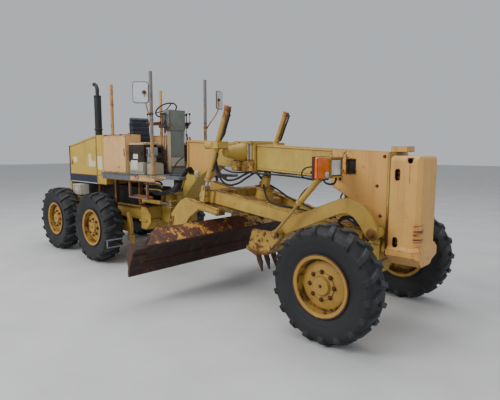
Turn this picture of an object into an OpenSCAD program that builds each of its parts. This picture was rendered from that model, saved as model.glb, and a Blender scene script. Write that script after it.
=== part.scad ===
// Articulated road grader with mid scarifier, parked with blade and scarifier raised.
// Millimetres. Lengths run along X from the front axle line, +X ahead, +Y left, Z from the ground.

/* [Frame of reference] */
// distance from the middle of the outline to the front axle
front_axle_x = 3248; // [3100:5:3400]
// front axle to the middle of the rear tandem
wheelbase = 5776; // [5500:1:6000]
// middle wheel to rear wheel
tandem_pitch = 1550; // [1400:10:1700]

/* [Tyres and rims] */
// outside radius over the lugs
tyre_r = 640; // [600:5:700]
// section width of a tyre
tyre_w = 350; // [300:5:420]
// lug height above the tread
lug_h = 30; // [10:1:45]
// lugs on each side of a tyre
lug_n = 18; // [12:1:28]
// width of a lug round the tyre
lug_w = 74; // [40:1:110]
// slant of a lug from square
lug_slant = 24; // [0:1:45]
// radius of the rim lip
lip_r = 345; // [300:5:380]
// radius where the tyre sits on the rim
seat_r = 305; // [280:1:330]
// radius of the wheel disc
disc_r = 250; // [200:5:280]
// radius of the axle stub in the wheel
stub_r = 62; // [40:1:90]
// middle of a front tyre from the centre line
front_track = 1010; // [900:5:1100]
// middle of a rear tyre from the centre line
rear_track = 970; // [900:5:1100]
// kingpin from the centre line
kingpin_y = 800; // [700:5:900]

/* [Front frame] */
// half width of the beam web
beam_half = 150; // [100:5:200]
// top of the beam over the blade
beam_top = 2147; // [2000:1:2300]
// fall of the beam top towards the front, per metre
beam_fall = 54; // [0:1:90]
// depth of the beam
beam_d = 370; // [300:5:450]
// how far the flanges stand proud
flange = 16; // [5:1:40]
// thickness of a flange
flange_t = 34; // [10:1:60]
// half width of the box plates at the front
box_half = 220; // [180:5:300]
// articulation pin ahead of the front axle, so negative
pivot_x = -3650; // [-3900:10:-3400]
// radius of the articulation pin
pivot_r = 45; // [30:1:70]
// half width of the hitch lug
neck_half = 110; // [80:5:140]

/* [Counterweight] */
// half width of the counterweight
cw_half = 240; // [200:5:300]
// rear and front face of the counterweight
cw_back = 310; // [280:5:350]
// front face
cw_front = 665; // [600:5:720]
// top of the counterweight
cw_top = 2000; // [1900:5:2100]
// ledge where the foot flares
cw_ledge = 960; // [900:5:1100]

/* [Drawbar and circle] */
// drawbar ball, length and height
ball_x = 50; // [-50:5:150]
// ball height
ball_z = 1050; // [950:5:1150]
// lift angle of the drawbar as parked
park_lift = 10; // [0:0.5:12]
// drawbar tube depth
bar_d = 180; // [140:5:240]
// radius of the ball
ball_r = 75; // [60:1:80]
// centre of the circle behind the ball
circle_x = -2320; // [-2400:10:-2200]
// outside radius of the circle
circle_r = 620; // [500:10:640]
// middle plane of the circle side plates
arm_y = 700; // [600:5:800]
// thickness of a side plate
arm_t = 36; // [20:1:60]

/* [Blade] */
// blade length
blade_l = 3710; // [3000:10:4000]
// inside radius of the blade curve
blade_r = 455; // [380:5:520]
// blade plate thickness
blade_t = 22; // [12:1:40]
// tilt pivot behind the ball
tilt_x = -2760; // [-2900:5:-2600]
// tilt pivot below the ball
tilt_z = -650; // [-800:5:-500]

/* [Lift cylinders] */
// plane of each lift cylinder
lift_y = 650; // [500:5:800]
// trunnion place
lift_top_x = -2080; // [-2200:5:-1900]
// trunnion height
lift_top_z = 2130; // [2000:5:2300]
// barrel radius
lift_barrel_r = 44; // [30:1:70]
// rod radius
lift_rod_r = 26; // [15:1:40]

/* [Scarifier] */
// pivot place
scar_x = 210; // [100:5:300]
// pivot height
scar_z = 1120; // [1000:5:1250]
// inner face of an arm
scar_y = 405; // [350:5:480]
// thickness of an arm
scar_t = 35; // [20:1:60]
// number of tines
tine_n = 7; // [5:1:11]
// tine spacing
tine_pitch = 155; // [100:5:220]

/* [Operator's place] */
// deck top
deck_z = 1630; // [1550:5:1700]
// deck half width
deck_half = 660; // [600:5:720]
// top of the hood
hood_top = 2360; // [2200:5:2500]
// half width of the hood
hood_half = 500; // [450:5:560]
// front and rear post places
post_front_x = -3750; // [-3900:10:-3600]
// rear post place
post_rear_x = -5090; // [-5300:10:-4900]
// posts from the centre line
post_y = 600; // [550:5:650]
// post radius
post_r = 30; // [20:1:50]

/* [Hidden] */
fine = 48;
gap = 0.5;
fit = 0.6;
seat_gap = 0.3;
fork_low = 795;
fork_high = 1270;
rail_low = 780;
rail_high = 1020;
rail_in = 360;
rail_out = 440;
mid_x = -wheelbase + tandem_pitch / 2;
aft_x = -wheelbase - tandem_pitch / 2;
yellow = [0.80, 0.63, 0.22];
cream = [0.90, 0.72, 0.45];
dark = [0.12, 0.12, 0.13];
steel = [0.55, 0.55, 0.55];
rust = [0.33, 0.18, 0.11];
grey = [0.45, 0.47, 0.43];
function beam_z(x) = beam_top - beam_fall * (x + 1800) / 1000;
// points along an arc, for outlines
function arc(cx, cz, r, a0, a1, n = 8) =
  [for (i = [0 : n]) [cx + r * cos(a0 + (a1 - a0) * i / n), cz + r * sin(a0 + (a1 - a0) * i / n)]];

module place() translate([front_axle_x, 0, 0]) children();
module both() { children(); mirror([0, 1, 0]) children(); }
// box from two corners
module bx(x0, x1, y0, y1, z0, z1)
  translate([x0, y0, z0]) cube([x1 - x0, y1 - y0, z1 - z0]);
// side outline in X and Z, from y0 to y0 + t
module side(y0, t, pts)
  translate([0, y0 + t, 0]) rotate([90, 0, 0]) linear_extrude(t) polygon(pts);
// round bar along Y
module ybar(x, z, y0, y1, r, n = fine)
  translate([x, y1, z]) rotate([90, 0, 0]) cylinder(r = r, h = y1 - y0, $fn = n);
module zbar(x, y, z0, z1, r, n = fine)
  translate([x, y, z0]) cylinder(r = r, h = z1 - z0, $fn = n);
module xbar(x0, x1, y, z, r, n = fine)
  translate([x0, y, z]) rotate([0, 90, 0]) cylinder(r = r, h = x1 - x0, $fn = n);
// plate standing on the line p to q of a side outline, t thick and 2 * half wide
module plate(p, q, t, half) {
  n = t * [p[1] - q[1], q[0] - p[0]] / norm(q - p);
  side(-half, 2 * half, [p, q, q + n, p + n]);
}
// upright hole with round ends through a wall across Y
module slot(x, z0, z1, r, y0, y1) {
  bx(x - r, x + r, y0, y1, z0 + r, z1 - r);
  for (z = [z0 + r, z1 - r]) ybar(x, z, y0, y1, r);
}
// hexagon head or nut, axis along Y or Z
module nut_y(x, z, y0, y1, r) ybar(x, z, y0, y1, r, 6);
module nut_z(x, y, z0, z1, r) zbar(x, y, z0, z1, r, 6);
// round bar between two points in a plane of constant Y
module lean(x0, z0, x1, z1, y, r, n = fine) {
  l = norm([x1 - x0, z1 - z0]);
  translate([x0, y, z0]) rotate([0, atan2(x1 - x0, z1 - z0), 0]) cylinder(r = r, h = l, $fn = n);
}

// Wheels. A wheel is drawn on the Y axis, outside towards +Y, then moved.
tread_r = tyre_r - lug_h;
half_w = tyre_w / 2;
// the far corner of a slanted lug lies on the tyre's outside radius
lug_reach = 94 * sin(lug_slant) + lug_w / 2 * cos(lug_slant);
lug_top = sqrt(tyre_r * tyre_r - lug_reach * lug_reach);
module tyre_shape() {
  rotate([-90, 0, 0]) rotate_extrude($fn = 36)
    polygon([[seat_r + fit, -130], [lip_r + 10, -130], [430, -168], [520, -half_w],
      [575, -168], [tread_r - 6, -140], [tread_r, 0], [tread_r - 6, 140], [575, 168],
      [520, half_w], [430, 168], [lip_r + 10, 130], [seat_r + fit, 130]]);
  // lugs alternate left and right of the tread
  for (i = [0 : lug_n - 1], s = [0, 1])
    rotate([0, (i + s / 2) * 360 / lug_n, 0]) mirror([0, s, 0])
      translate([0, 80, 0]) rotate([0, 0, lug_slant]) translate([0, -80, 0])
        translate([-lug_w / 2, 0, 0]) rotate([90, 0, 90]) linear_extrude(lug_w)
          polygon([[-14, 590], [-14, lug_top], [128, lug_top - 4], [166, lug_top - 38],
            [164, 560], [120, 570]]);
}
module rim_shape(hub_in) {
  rotate([-90, 0, 0]) rotate_extrude($fn = fine)
    polygon([[0, 128], [98, 128], [104, 100], [150, 100], [150, 92], [disc_r, 66], [disc_r + 20, 58],
      [seat_r - 13, 58], [seat_r - 13, 140], [lip_r - 12, 150], [lip_r, 150], [lip_r, 130 + gap],
      [seat_r, 130 + gap], [seat_r, -130 - gap], [lip_r, -130 - gap], [lip_r, -150],
      [seat_r - 14, -150], [seat_r - 14, 38], [disc_r + 20, 38], [disc_r, 44], [92, 70],
      [92, hub_in], [stub_r + 1, hub_in], [stub_r + 1, 76], [0, 76]]);
  for (a = [0 : 45 : 315]) rotate([0, a, 0])
    translate([150, 90, 0]) rotate([-90, 0, 0]) cylinder(r = 17, h = 26, $fn = 6);
}
module tyre_at(x, y, s) place() color(dark)
  translate([x, y, tyre_r]) mirror([0, s < 0 ? 1 : 0, 0]) tyre_shape();
module rim_at(x, y, s, hub_in) place() color(yellow)
  translate([x, y, tyre_r]) mirror([0, s < 0 ? 1 : 0, 0]) rim_shape(hub_in);
module tyre_FR() tyre_at(0, -front_track, -1);
module rim_FR() rim_at(0, -front_track, -1, -10);
module tyre_FL() tyre_at(0, front_track, 1);
module rim_FL() rim_at(0, front_track, 1, -10);
module tyre_MR() tyre_at(mid_x, -rear_track, -1);
module rim_MR() rim_at(mid_x, -rear_track, -1, -10);
module tyre_ML() tyre_at(mid_x, rear_track, 1);
module rim_ML() rim_at(mid_x, rear_track, 1, -10);
module tyre_RR() tyre_at(aft_x, -rear_track, -1);
module rim_RR() rim_at(aft_x, -rear_track, -1, -10);
module tyre_RL() tyre_at(aft_x, rear_track, 1);
module rim_RL() rim_at(aft_x, rear_track, 1, -10);

// Front frame: beam, gooseneck, hitch lug, front box and ball socket
module front_frame() place() color(yellow) difference() {
  union() {
    // web of the beam, bent down to the hitch
    side(-beam_half, 2 * beam_half, [[-3320, beam_z(-3320)], [-3324, 1807], [-3505, 1400],
      [-3505, 1180], [-3440, 1180], [-3400, 1300], [-3290, 1400], [-3150, 1530],
      [-2700, beam_z(-2700) - beam_d], [-300, beam_z(-300) - beam_d], [-300, beam_z(-300)]]);
    // flanges along the beam and round the bend
    half = beam_half + flange;
    plate([-300, beam_z(-300) - flange_t], [-3322, beam_z(-3322) - flange_t], -flange_t, half);
    plate([-2700, beam_z(-2700) - beam_d], [-300, beam_z(-300) - beam_d], flange_t, half);
    plate([-3320, beam_z(-3320)], [-3324, 1800], -flange_t, half);
    plate([-3324, 1812], [-3501.5, 1408], -flange_t, half);
    plate([-3150, 1530], [-2690, beam_z(-2700) - beam_d + 2], flange_t, half);
    plate([-3290, 1400], [-3146, 1533], flange_t, half);
    // stiffeners on the web
    for (x = [-2560, -1480, -900]) bx(x, x + 20, -half + 2, half - 2,
      beam_z(x) - beam_d + flange_t - 2, beam_z(x) - flange_t);
    // lug of the hitch
    bx(pivot_x, -3440, -neck_half, neck_half, fork_low + seat_gap, fork_high - seat_gap);
    zbar(pivot_x, 0, fork_low + seat_gap, fork_high - seat_gap, 140);
    // gussets between the lug and the bend
    both() side(neck_half - 20, 20, [[-3445, 900], [-3445, 1262], [-3420, 1262]]);
    // arms that the hitch cylinders push
    both() for (z = [hc_z - hc_ear - 20, hc_z + hc_ear]) {
      bx(hc_front - 40, hc_front + 40, 100, hc_y, z, z + 20);
      zbar(hc_front, hc_y, z, z + 20, 40);
    }
    // ends of the eye pins, and the nut on top
    both() zbar(hc_front, hc_y, hc_z - hc_ear - 34, hc_z - hc_ear - 19, hc_pin);
    both() nut_z(hc_front, hc_y, hc_z + hc_ear + 19, hc_z + hc_ear + 40, 30);
    both() bx(hc_front - 40, hc_front + 40, 100, 230, hc_z - hc_ear - 20, hc_z + hc_ear + 20);
    // box plates round the front of the beam
    side(-box_half, 2 * box_half, concat([[-460, beam_z(-460) + 6], [-460, 1640], [-425, 1600],
      [-230, 1500], [40, 1330]], [[90, 1180], [90, 1050], [cw_back, 1050], [cw_back, beam_z(cw_back) + 6]]));
    // end plate that the counterweight bolts to
    bx(cw_back - 28, cw_back, -box_half - 25, box_half + 25, 850, beam_z(cw_back) - 6);
    bx(-20, 170, -120, 120, 940, 1200);
    bx(160, cw_back - 20, -90, 90, 850, 1060);
    // eyes of the scarifier arms
    both() ybar(scar_x, scar_z, box_half - 5, scar_y - 12, 62);
    // cross tube over the scarifier cylinders
    ybar(sc_top[0], sc_top[1], -540, 540, 34);
    ybar(sc_top[0], sc_top[1], -sc_cyl_y - 46, sc_cyl_y + 46, 16);
    both() nut_y(sc_top[0], sc_top[1], sc_cyl_y + 44, sc_cyl_y + 60, 26);
    // block on top at the front
    bx(250, 440, -100, 100, beam_z(300) + 6, beam_z(300) + 70);
  }
  zbar(pivot_x, 0, 700, 1400, pivot_r + fit);
  both() bx(-260, -130, box_half - 40, box_half + 30, 1775, 1955);
  ybar(scar_x, scar_z, -900, 900, 40 + fit);
  translate([ball_x, 0, ball_z]) sphere(r = ball_r + gap, $fn = fine);
  lifted() xbar(-420, 0, 0, 0, 64);
}

cw_round = 55;
cw_flare = 55;
module counterweight() place() color(cream) difference() {
  union() {
    // tall block: its plan, its front view and its side view cut from one another
    intersection() {
      translate([0, 0, 755]) linear_extrude(cw_top - 755)
        polygon([[cw_back, -cw_half], [cw_front - 45, -cw_half], [cw_front, -cw_half + 45],
          [cw_front, cw_half - 45], [cw_front - 45, cw_half], [cw_back, cw_half]]);
      translate([cw_back, 0, 0]) rotate([90, 0, 90]) linear_extrude(cw_front - cw_back)
        polygon(concat([[-130, 755], [130, 755], [cw_half, 850]],
          arc(cw_half - cw_round, cw_top - cw_round, cw_round, 0, 90, 5),
          arc(-cw_half + cw_round, cw_top - cw_round, cw_round, 90, 180, 5), [[-cw_half, 850]]));
      side(-cw_half, 2 * cw_half, concat([[cw_back, 755], [cw_front, 755]],
        arc(cw_front - cw_round, cw_top - cw_round, cw_round, 0, 90, 5), [[cw_back, cw_top]]));
    }
    // foot: a flare that turns out of the sides and tapers under
    intersection() {
      translate([cw_back, 0, 0]) rotate([90, 0, 90]) linear_extrude(cw_front + 30 - cw_back)
        polygon(concat([[-130, 755], [130, 755], [cw_half + cw_flare, 880], [cw_half + cw_flare, cw_ledge - 15]],
          arc(cw_half + cw_flare, cw_ledge + 45, 60, -90, -180, 5),
          arc(-cw_half - cw_flare, cw_ledge + 45, 60, 0, -90, 5),
          [[-cw_half - cw_flare, cw_ledge - 15], [-cw_half - cw_flare, 880]]));
      translate([0, 0, 700]) linear_extrude(400)
        polygon([[cw_back, -cw_half - cw_flare], [cw_front - 30, -cw_half - cw_flare],
          [cw_front + 30, -cw_half], [cw_front + 30, cw_half], [cw_front - 30, cw_half + cw_flare],
          [cw_back, cw_half + cw_flare]]);
      side(-400, 800, concat([[cw_back, 755], [cw_front - 20, 755], [cw_front + 30, 880]],
        [[cw_front + 30, cw_ledge - 15], [cw_front, cw_ledge + 45], [cw_back, cw_ledge + 45]]));
    }
  }
  // pockets over the fastening bolts, and the crane hole at the top
  both() slot(397, 1725, 1855, 28, cw_half - 70, cw_half + 9);
  both() slot(397, 968, 1085, 28, cw_half - 70, cw_half + 99);
  both() ybar(535, 1945, cw_half - 80, cw_half + 9, 27);
  // bore for the tow pin
  zbar(cw_front - 60, 0, 700, 900, 30);
}

// Blade lift
module lifted() translate([ball_x, 0, ball_z]) rotate([0, park_lift, 0]) children();
pin_l = [-2433, 28];
ball_low = [ball_x + pin_l[0] * cos(park_lift) + pin_l[1] * sin(park_lift),
            ball_z - pin_l[0] * sin(park_lift) + pin_l[1] * cos(park_lift)];
lift_d = [ball_low[0] - lift_top_x, ball_low[1] - lift_top_z];
lift_len = norm(lift_d);
lift_u = lift_d / lift_len;
module lift_bar(a, b, r, y = lift_y) lean(lift_top_x + lift_u[0] * a, lift_top_z + lift_u[1] * a,
  lift_top_x + lift_u[0] * b, lift_top_z + lift_u[1] * b, y, r);
trunnion_r = 22;
// the barrel stops short of the eye with the rod drawn right in
barrel_end = lift_len - 122;

lock_x = [[-2200, -2030], [-1945, -1765]];
module saddle() place() color(yellow) both() difference() {
  union() {
    // clamp round the beam
    bx(-2200, -1765, beam_half + flange + gap, 205, 1745, 2190);
    side(0, 205, [[-2200, beam_z(-2200) + gap], [-2200, 2190], [-1765, 2190], [-1765, beam_z(-1765) + gap]]);
    side(0, 205, [[-2200, beam_z(-2200) - beam_d - gap], [-1765, beam_z(-1765) - beam_d - gap],
      [-1765, 1745], [-2200, 1745]]);
    // cone out to the yoke
    translate([-2020, 200, 2030]) rotate([-90, 0, 0]) cylinder(r1 = 140, r2 = 68, h = 350, $fn = fine);
    // yoke ears and the bridge before the barrel
    for (y = [[550, 585], [lift_y + 65, lift_y + 100]]) {
      bx(-2085, -1965, y[0], y[1], 2080, 2180);
      ybar(lift_top_x, lift_top_z, y[0], y[1], 52);
    }
    bx(-1995, -1965, 560, lift_y + 90, 2080, 2180);
    // round arm behind the yoke with its rusty collar
    xbar(-2460, -2110, 520, 2130, 55);
    xbar(-2240, -2175, 520, 2130, 62);
    bx(-2190, -2080, 470, 560, 2080, 2180);
    // locks: a block, two draw bolts and the bar over them
    for (x = lock_x) {
      bx(x[0], x[1], 200, 250, 1755, 1905);
      for (k = [0.33, 0.67]) {
        bolt_x = x[0] + k * (x[1] - x[0]);
        zbar(bolt_x, 222, 1900, 2165, 11, 16);
        nut_z(bolt_x, 222, 1904, 1925, 20);
      }
      bx(x[0] + 30, x[1] - 30, 200, 242, 2150, 2180);
    }
  }
  ybar(lift_top_x, lift_top_z, 500, 900, trunnion_r + fit);
}
module lift_barrels() place() color(yellow) both() difference() {
  union() {
    lift_bar(-560, barrel_end - 5, lift_barrel_r);
    // cap, gland and the band of the trunnion
    lift_bar(-575, -520, lift_barrel_r + 7);
    lift_bar(barrel_end - 50, barrel_end, lift_barrel_r + 6);
    lift_bar(-45, 45, lift_barrel_r + 5);
    ybar(lift_top_x, lift_top_z, lift_y - 58, lift_y + 58, 34);
    ybar(lift_top_x, lift_top_z, 552, lift_y + 98, trunnion_r);
  }
  lift_bar(-530, barrel_end + 9, lift_rod_r + fit);
}
module lift_rods() place() color(steel) both() {
  lift_bar(-450, lift_len - 20, lift_rod_r);
  ybar(ball_low[0], ball_low[1], lift_y - 28, lift_y + 28, 46);
}

// the circle drive stands ahead of the ring
drive_x = -1840;
// where the cross box and the legs end, inside the ears
box_end = lift_y - 50;
module drawbar() place() color(yellow) lifted() {
  difference() {
    union() {
      both() translate([0, 0, -bar_d]) linear_extrude(bar_d)
        polygon([[-200, -1], [-130, 60], [-2440, box_end], [-2440, box_end - 140], [-560, 35], [-560, -1]]);
      // top plates of the legs stand proud
      both() translate([0, 0, -12]) linear_extrude(18)
        polygon([[-300, 0], [-300, 112], [-2440, box_end], [-2440, box_end - 150], [-600, 30], [-600, 0]]);
      bx(-2440, -2300, -box_end, box_end, -bar_d, 0);
      bx(-2000, -1720, -400, 400, -bar_d, -20);
      bx(-2960, -2440, -70, 70, -bar_d, -20);
      // web plates under the cross box
      both() for (y = [110, 330]) side(y, 16, [[-2300, -bar_d + 1], [-2300, -20], [-2180, -bar_d + 1]]);
      // shoes that carry the circle
      bx(circle_x + circle_r + seat_gap, circle_x + circle_r + 22, -90, 90, -278, -20);
      bx(-1760, circle_x + circle_r + 22, -90, 90, -120, -20);
      bx(circle_x + circle_r - 60, circle_x + circle_r + 22, -90, 90, -278, -250 - seat_gap);
      bx(circle_x - circle_r - 22, circle_x - circle_r - seat_gap, -70, 70, -278, -20);
      bx(circle_x - circle_r - 22, circle_x - circle_r + 60, -70, 70, -278, -250 - seat_gap);
      // circle drive: gear case, its cover and the motor
      zbar(drive_x, 0, -20, 150, 130);
      zbar(drive_x, 0, 118, 138, 142);
      zbar(drive_x, 0, 150, 300, 65);
      zbar(drive_x, 0, 300, 318, 50, 8);
      for (a = [0 : 45 : 315]) translate([drive_x, 0, 0]) rotate([0, 0, a + 22]) nut_z(126, 0, 137, 152, 13);
      xbar(-240, -40, 0, 0, 42);
      // ears for the lift rods, with the pins through them
      both() for (y = [lift_y - 50, lift_y + 35]) {
        bx(pin_l[0] - 46, pin_l[0] + 46, y, y + 15, -120, pin_l[1]);
        ybar(pin_l[0], pin_l[1], y, y + 15, 46);
      }
      both() bx(pin_l[0] - 46, pin_l[0] + 46, box_end - 10, lift_y + 50, -bar_d, -90);
      both() nut_y(pin_l[0], pin_l[1], lift_y + 50, lift_y + 66, 26);
    }
  }
  sphere(r = ball_r, $fn = fine);
}

module arc_slot(c, r, w, a0, a1, y0, t) side(y0, t, concat(
  [for (i = [0 : 8]) c + (r - w) * [cos(a0 + (a1 - a0) * i / 8), sin(a0 + (a1 - a0) * i / 8)]],
  [for (i = [8 : -1 : 0]) c + (r + w) * [cos(a0 + (a1 - a0) * i / 8), sin(a0 + (a1 - a0) * i / 8)]]));
tilt_pin_r = 30;
arm_outline = concat([[-2060, -194], [-2700, -194], [-2800, -206], [-2900, -270], [-2985, -373], [-3060, -480],
  [-3128, -590], [-3132, -690], [-3108, -785], [-3020, -832], [-2930, -800]], [[-2740, -740], [-2690, -650],
  [-2700, -560], [-2620, -440], [-2470, -292], [-2060, -262]]);
tilt_bolt = 320;
tooth_n = 44;
module circle_ring() place() color(yellow) lifted() {
  translate([circle_x, 0, 0]) {
    rotate_extrude($fn = 96) polygon([[circle_r - 110, -250], [circle_r, -250], [circle_r, -190],
      [circle_r - 110, -190]]);
    // teeth that the drive pinion runs in
    for (i = [0 : tooth_n - 1]) rotate([0, 0, i * 360 / tooth_n]) translate([0, 0, -244])
      linear_extrude(48) polygon([[circle_r - 105, -20], [circle_r - 105, 20], [circle_r - 140, 8],
        [circle_r - 140, -8]]);
  }
  both() {
    difference() {
      union() {
        side(arm_y - arm_t / 2, arm_t, arm_outline);
        // welded edges of the arm
        translate([0, arm_y, 0]) {
          plate([-2700, -210], [-2066, -210], 16, arm_t / 2 + 12);
          plate([-2066, -262], [-2470, -292], 16, arm_t / 2 + 12);
          plate([-2470, -292], [-2620, -440], 16, arm_t / 2 + 12);
        }
        // raised rims beside the slot of the tilt bolt
        for (k = [-50, 34]) side(arm_y + arm_t / 2 - 2, 18, concat(
          [for (a = [164 : 4 : 204]) [tilt_x, tilt_z] + (tilt_bolt + k) * [cos(a), sin(a)]],
          [for (a = [204 : -4 : 164]) [tilt_x, tilt_z] + (tilt_bolt + k + 16) * [cos(a), sin(a)]]));
      }
      ybar(tilt_x, tilt_z, 600, 800, tilt_pin_r + fit);
      arc_slot([tilt_x, tilt_z], tilt_bolt, 20, 168, 200, 600, 200);
    }
    bx(-2560, -2080, 540, arm_y, -300, -250);
  }
}
rail = [-2555, -770];
module tilt_brackets() place() color(yellow) lifted() both() {
  difference() {
    union() {
      side(arm_y - 60, 36, [[-2850, -600], [-2760, -560], [-2620, -600], [-2530, -690], [-2530, -850],
        [-2620, -900], [-2760, -760], [-3060, -700], [-3100, -650], [-3060, -600]]);
      ybar(tilt_x, tilt_z, arm_y - 50, arm_y + 30, tilt_pin_r);
      ybar(tilt_x - tilt_bolt, tilt_z, arm_y - 50, arm_y + 40, 17);
    }
    // slot for the blade rail
    bx(rail[0] - 41, rail[0] + 1, 500, 800, rail[1] - 51, rail[1] + 51);
    bx(rail[0] - 1, -2500, 500, 800, rail[1] - 16, rail[1] + 16);
  }
}
// concave face through the edge and the top of the blade
blade_c = [-1985.8, -1010.9];
function face(r, a) = blade_c + r * [cos(a), sin(a)];
edge_t = 16;
module moldboard() place() color(rust) lifted() {
  difference() {
    side(-blade_l / 2, blade_l, concat(
      [for (i = [0 : 10]) face(blade_r, 193.1 - 9.3 * i)],
      [[-2085, -545], [-2311, -428], [-2440, -560], [-2520, -700], [-2520, -860]],
      [for (i = [0 : 3]) face(blade_r + blade_t, 178 + 4 * i)],
      [face(blade_r + blade_t, 193.1)]));
    both() translate([0, 0, -690]) linear_extrude(300)
      polygon([[-2080, 1860], [-2311, 1580], [-2640, 1580], [-2640, 1900], [-2080, 1900]]);
  }
  // cutting edge bolted to the foot of the face, in two lengths, and the end bits
  both() {
    side(4, blade_l / 2 - 220, concat([for (a = [193.1, 186, 179, 172]) face(blade_r - edge_t, a)],
      [for (a = [172, 179, 186, 193.1]) face(blade_r + 1, a)]));
    side(blade_l / 2 - 210, 210, concat([for (a = [193.1, 186, 179, 172, 162, 152]) face(blade_r - edge_t, a)],
      [for (a = [152, 162, 172, 179, 186, 193.1]) face(blade_r + 1, a)]));
    for (k = [0 : 6]) let (c = face(blade_r - edge_t, 182))
      translate([c[0], 160 + 240 * k, c[1]]) rotate([0, 94, 0]) cylinder(r = 16, h = 10, $fn = 6);
  }
  // rail that the brackets hold, and the side shift cylinder beside it
  bx(rail[0], -2515, -1250, 1250, rail[1] - 15, rail[1] + 15);
  bx(rail[0] - 40, rail[0], -1250, 1250, rail[1] - 50, rail[1] + 50);
}

// Scarifier
sc_top = [-360, 1775];
sc_low = [-1087, 970];
sc_len = norm(sc_top - sc_low);
sc_u = (sc_low - sc_top) / sc_len;
sc_cyl_y = 580;
// top and under edge of an arm, from the pivot to the block
arm_top = [[278, 1200], [200, 1340], [110, 1433], [10, 1492], [-90, 1512], [-200, 1495], [-810, 1245]];
arm_low = [[-980, 968], [-300, 1270], [-180, 1318], [-100, 1322], [-20, 1290], [60, 1200], [135, 1085]];
module scarifier() place() color(yellow) {
  both() difference() {
    union() {
      side(scar_y, scar_t, concat([[285, 1120]], arm_top, [[-1010, 1160], [-1300, 900], [-1320, 790],
        [-1190, 760]], arm_low, [[180, 1050], [240, 1050], [275, 1080]]));
      // end plate with the ear of the cylinder
      side(485, 45, [[-1515, 975], [-1605, 705], [-1420, 628], [-1260, 648], [-1010, 930], [-1030, 1010],
        [-1087, 1030], [-1150, 1010], [-1180, 975]]);
      side(0, 490, [[-1585, 790], [-1605, 705], [-1420, 628], [-1260, 648], [-1160, 760], [-1170, 790]]);
      // ledge round the foot of the end plate
      side(525, 25, [[-1600, 745], [-1618, 690], [-1420, 612], [-1405, 640], [-1420, 650], [-1585, 716]]);
      ybar(sc_low[0], sc_low[1], 500, 556, 26);
      // boss and bolt of the pivot
      ybar(scar_x, scar_z, scar_y, scar_y + scar_t + 14, 64);
      ybar(scar_x, scar_z, scar_y + scar_t, scar_y + scar_t + 26, 44);
      nut_y(scar_x, scar_z, scar_y + scar_t + 20, scar_y + scar_t + 42, 27);
    }
    // holes for the shank pins
    for (x = [-1330, -1240]) ybar(x, 850, 520, 540, 14);
  }
  ybar(scar_x, scar_z, -scar_y - 10, scar_y + 10, 40);
  // tines with forward hooked points
  for (i = [0 : tine_n - 1]) translate([0, (i - (tine_n - 1) / 2) * tine_pitch, 0])
    side(-14, 28, concat(arc(-1200, 640, 290, 170, 205, 6), [[-1385, 385]],
      arc(-1200, 640, 215, 212, 165, 6)));
}
module sc_bar(a, b, r) both() lean(sc_top[0] + sc_u[0] * a, sc_top[1] + sc_u[1] * a,
  sc_top[0] + sc_u[0] * b, sc_top[1] + sc_u[1] * b, sc_cyl_y, r);
module scarifier_barrels() place() color(yellow) difference() {
  union() {
    sc_bar(0, 500, 38);
    sc_bar(455, 506, 45);
    sc_bar(60, 90, 44);
    both() ybar(sc_top[0], sc_top[1], sc_cyl_y - 24, sc_cyl_y + 24, 42);
  }
  sc_bar(100, 600, 20 + fit);
  both() ybar(sc_top[0], sc_top[1], 300, 900, 16 + fit);
}
module scarifier_rods() place() color(steel) both() {
  lean(sc_top[0] + sc_u[0] * 120, sc_top[1] + sc_u[1] * 120, sc_low[0], sc_low[1], sc_cyl_y, 20);
  ybar(sc_low[0], sc_low[1], sc_cyl_y - 22, sc_cyl_y + 22, 34);
}

// Front axle and steering
axle_z = tyre_r;
arm_x = -220;
module front_axle() place() color(yellow) difference() {
  union() {
    // round axle casing, swelling to the middle, with its flanges
    both() translate([0, 120, axle_z]) rotate([-90, 0, 0]) cylinder(r1 = 110, r2 = 78, h = 600, $fn = fine);
    both() ybar(0, axle_z, 380, 400, 108);
    ybar(0, axle_z, -140, 140, 118);
    both() bx(-50, 50, 690, 752, 565, 715);
    both() zbar(0, kingpin_y, 545, 735, 64);
    // saddle that carries the frame
    bx(-20, 160 - gap, -110, 110, 640, 940);
    bx(-75, 170, -150, 150, 590, 740);
    both() side(95, 15, [[-75, 735], [-20, 930], [-20, 735]]);
  }
  both() zbar(0, kingpin_y, 400, 900, 30 + fit);
}
module knuckle_shape() {
  zbar(0, kingpin_y, 505, 775, 30);
  for (z = [[505, 535], [745, 775]]) {
    zbar(0, kingpin_y, z[0], z[1], 58);
    bx(-50, 50, kingpin_y, 900, z[0], z[1]);
  }
  bx(-50, 50, 868, 900, 505, 775);
  ybar(0, axle_z, 880, 902, 110);
  ybar(0, axle_z, 890, front_track + 65, stub_r);
  // steering arm with the ball of the tie rod
  bx(arm_x, 0, kingpin_y - 28, kingpin_y + 28, 748, 775);
  zbar(arm_x, kingpin_y, 748, 775, 30);
  zbar(arm_x, kingpin_y, 748, 812, 15);
}
module knuckle_L() place() color(yellow) knuckle_shape();
module knuckle_R() place() color(yellow) mirror([0, 1, 0]) knuckle_shape();
module tie_rod() place() color(steel) difference() {
  union() {
    both() zbar(arm_x, kingpin_y, 782, 806, 32);
    ybar(arm_x, 794, -kingpin_y + 20, kingpin_y - 20, 16);
  }
  zbar(arm_x, -kingpin_y, 700, 900, 15 + fit);
  zbar(arm_x, kingpin_y, 700, 900, 17);
}

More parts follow.
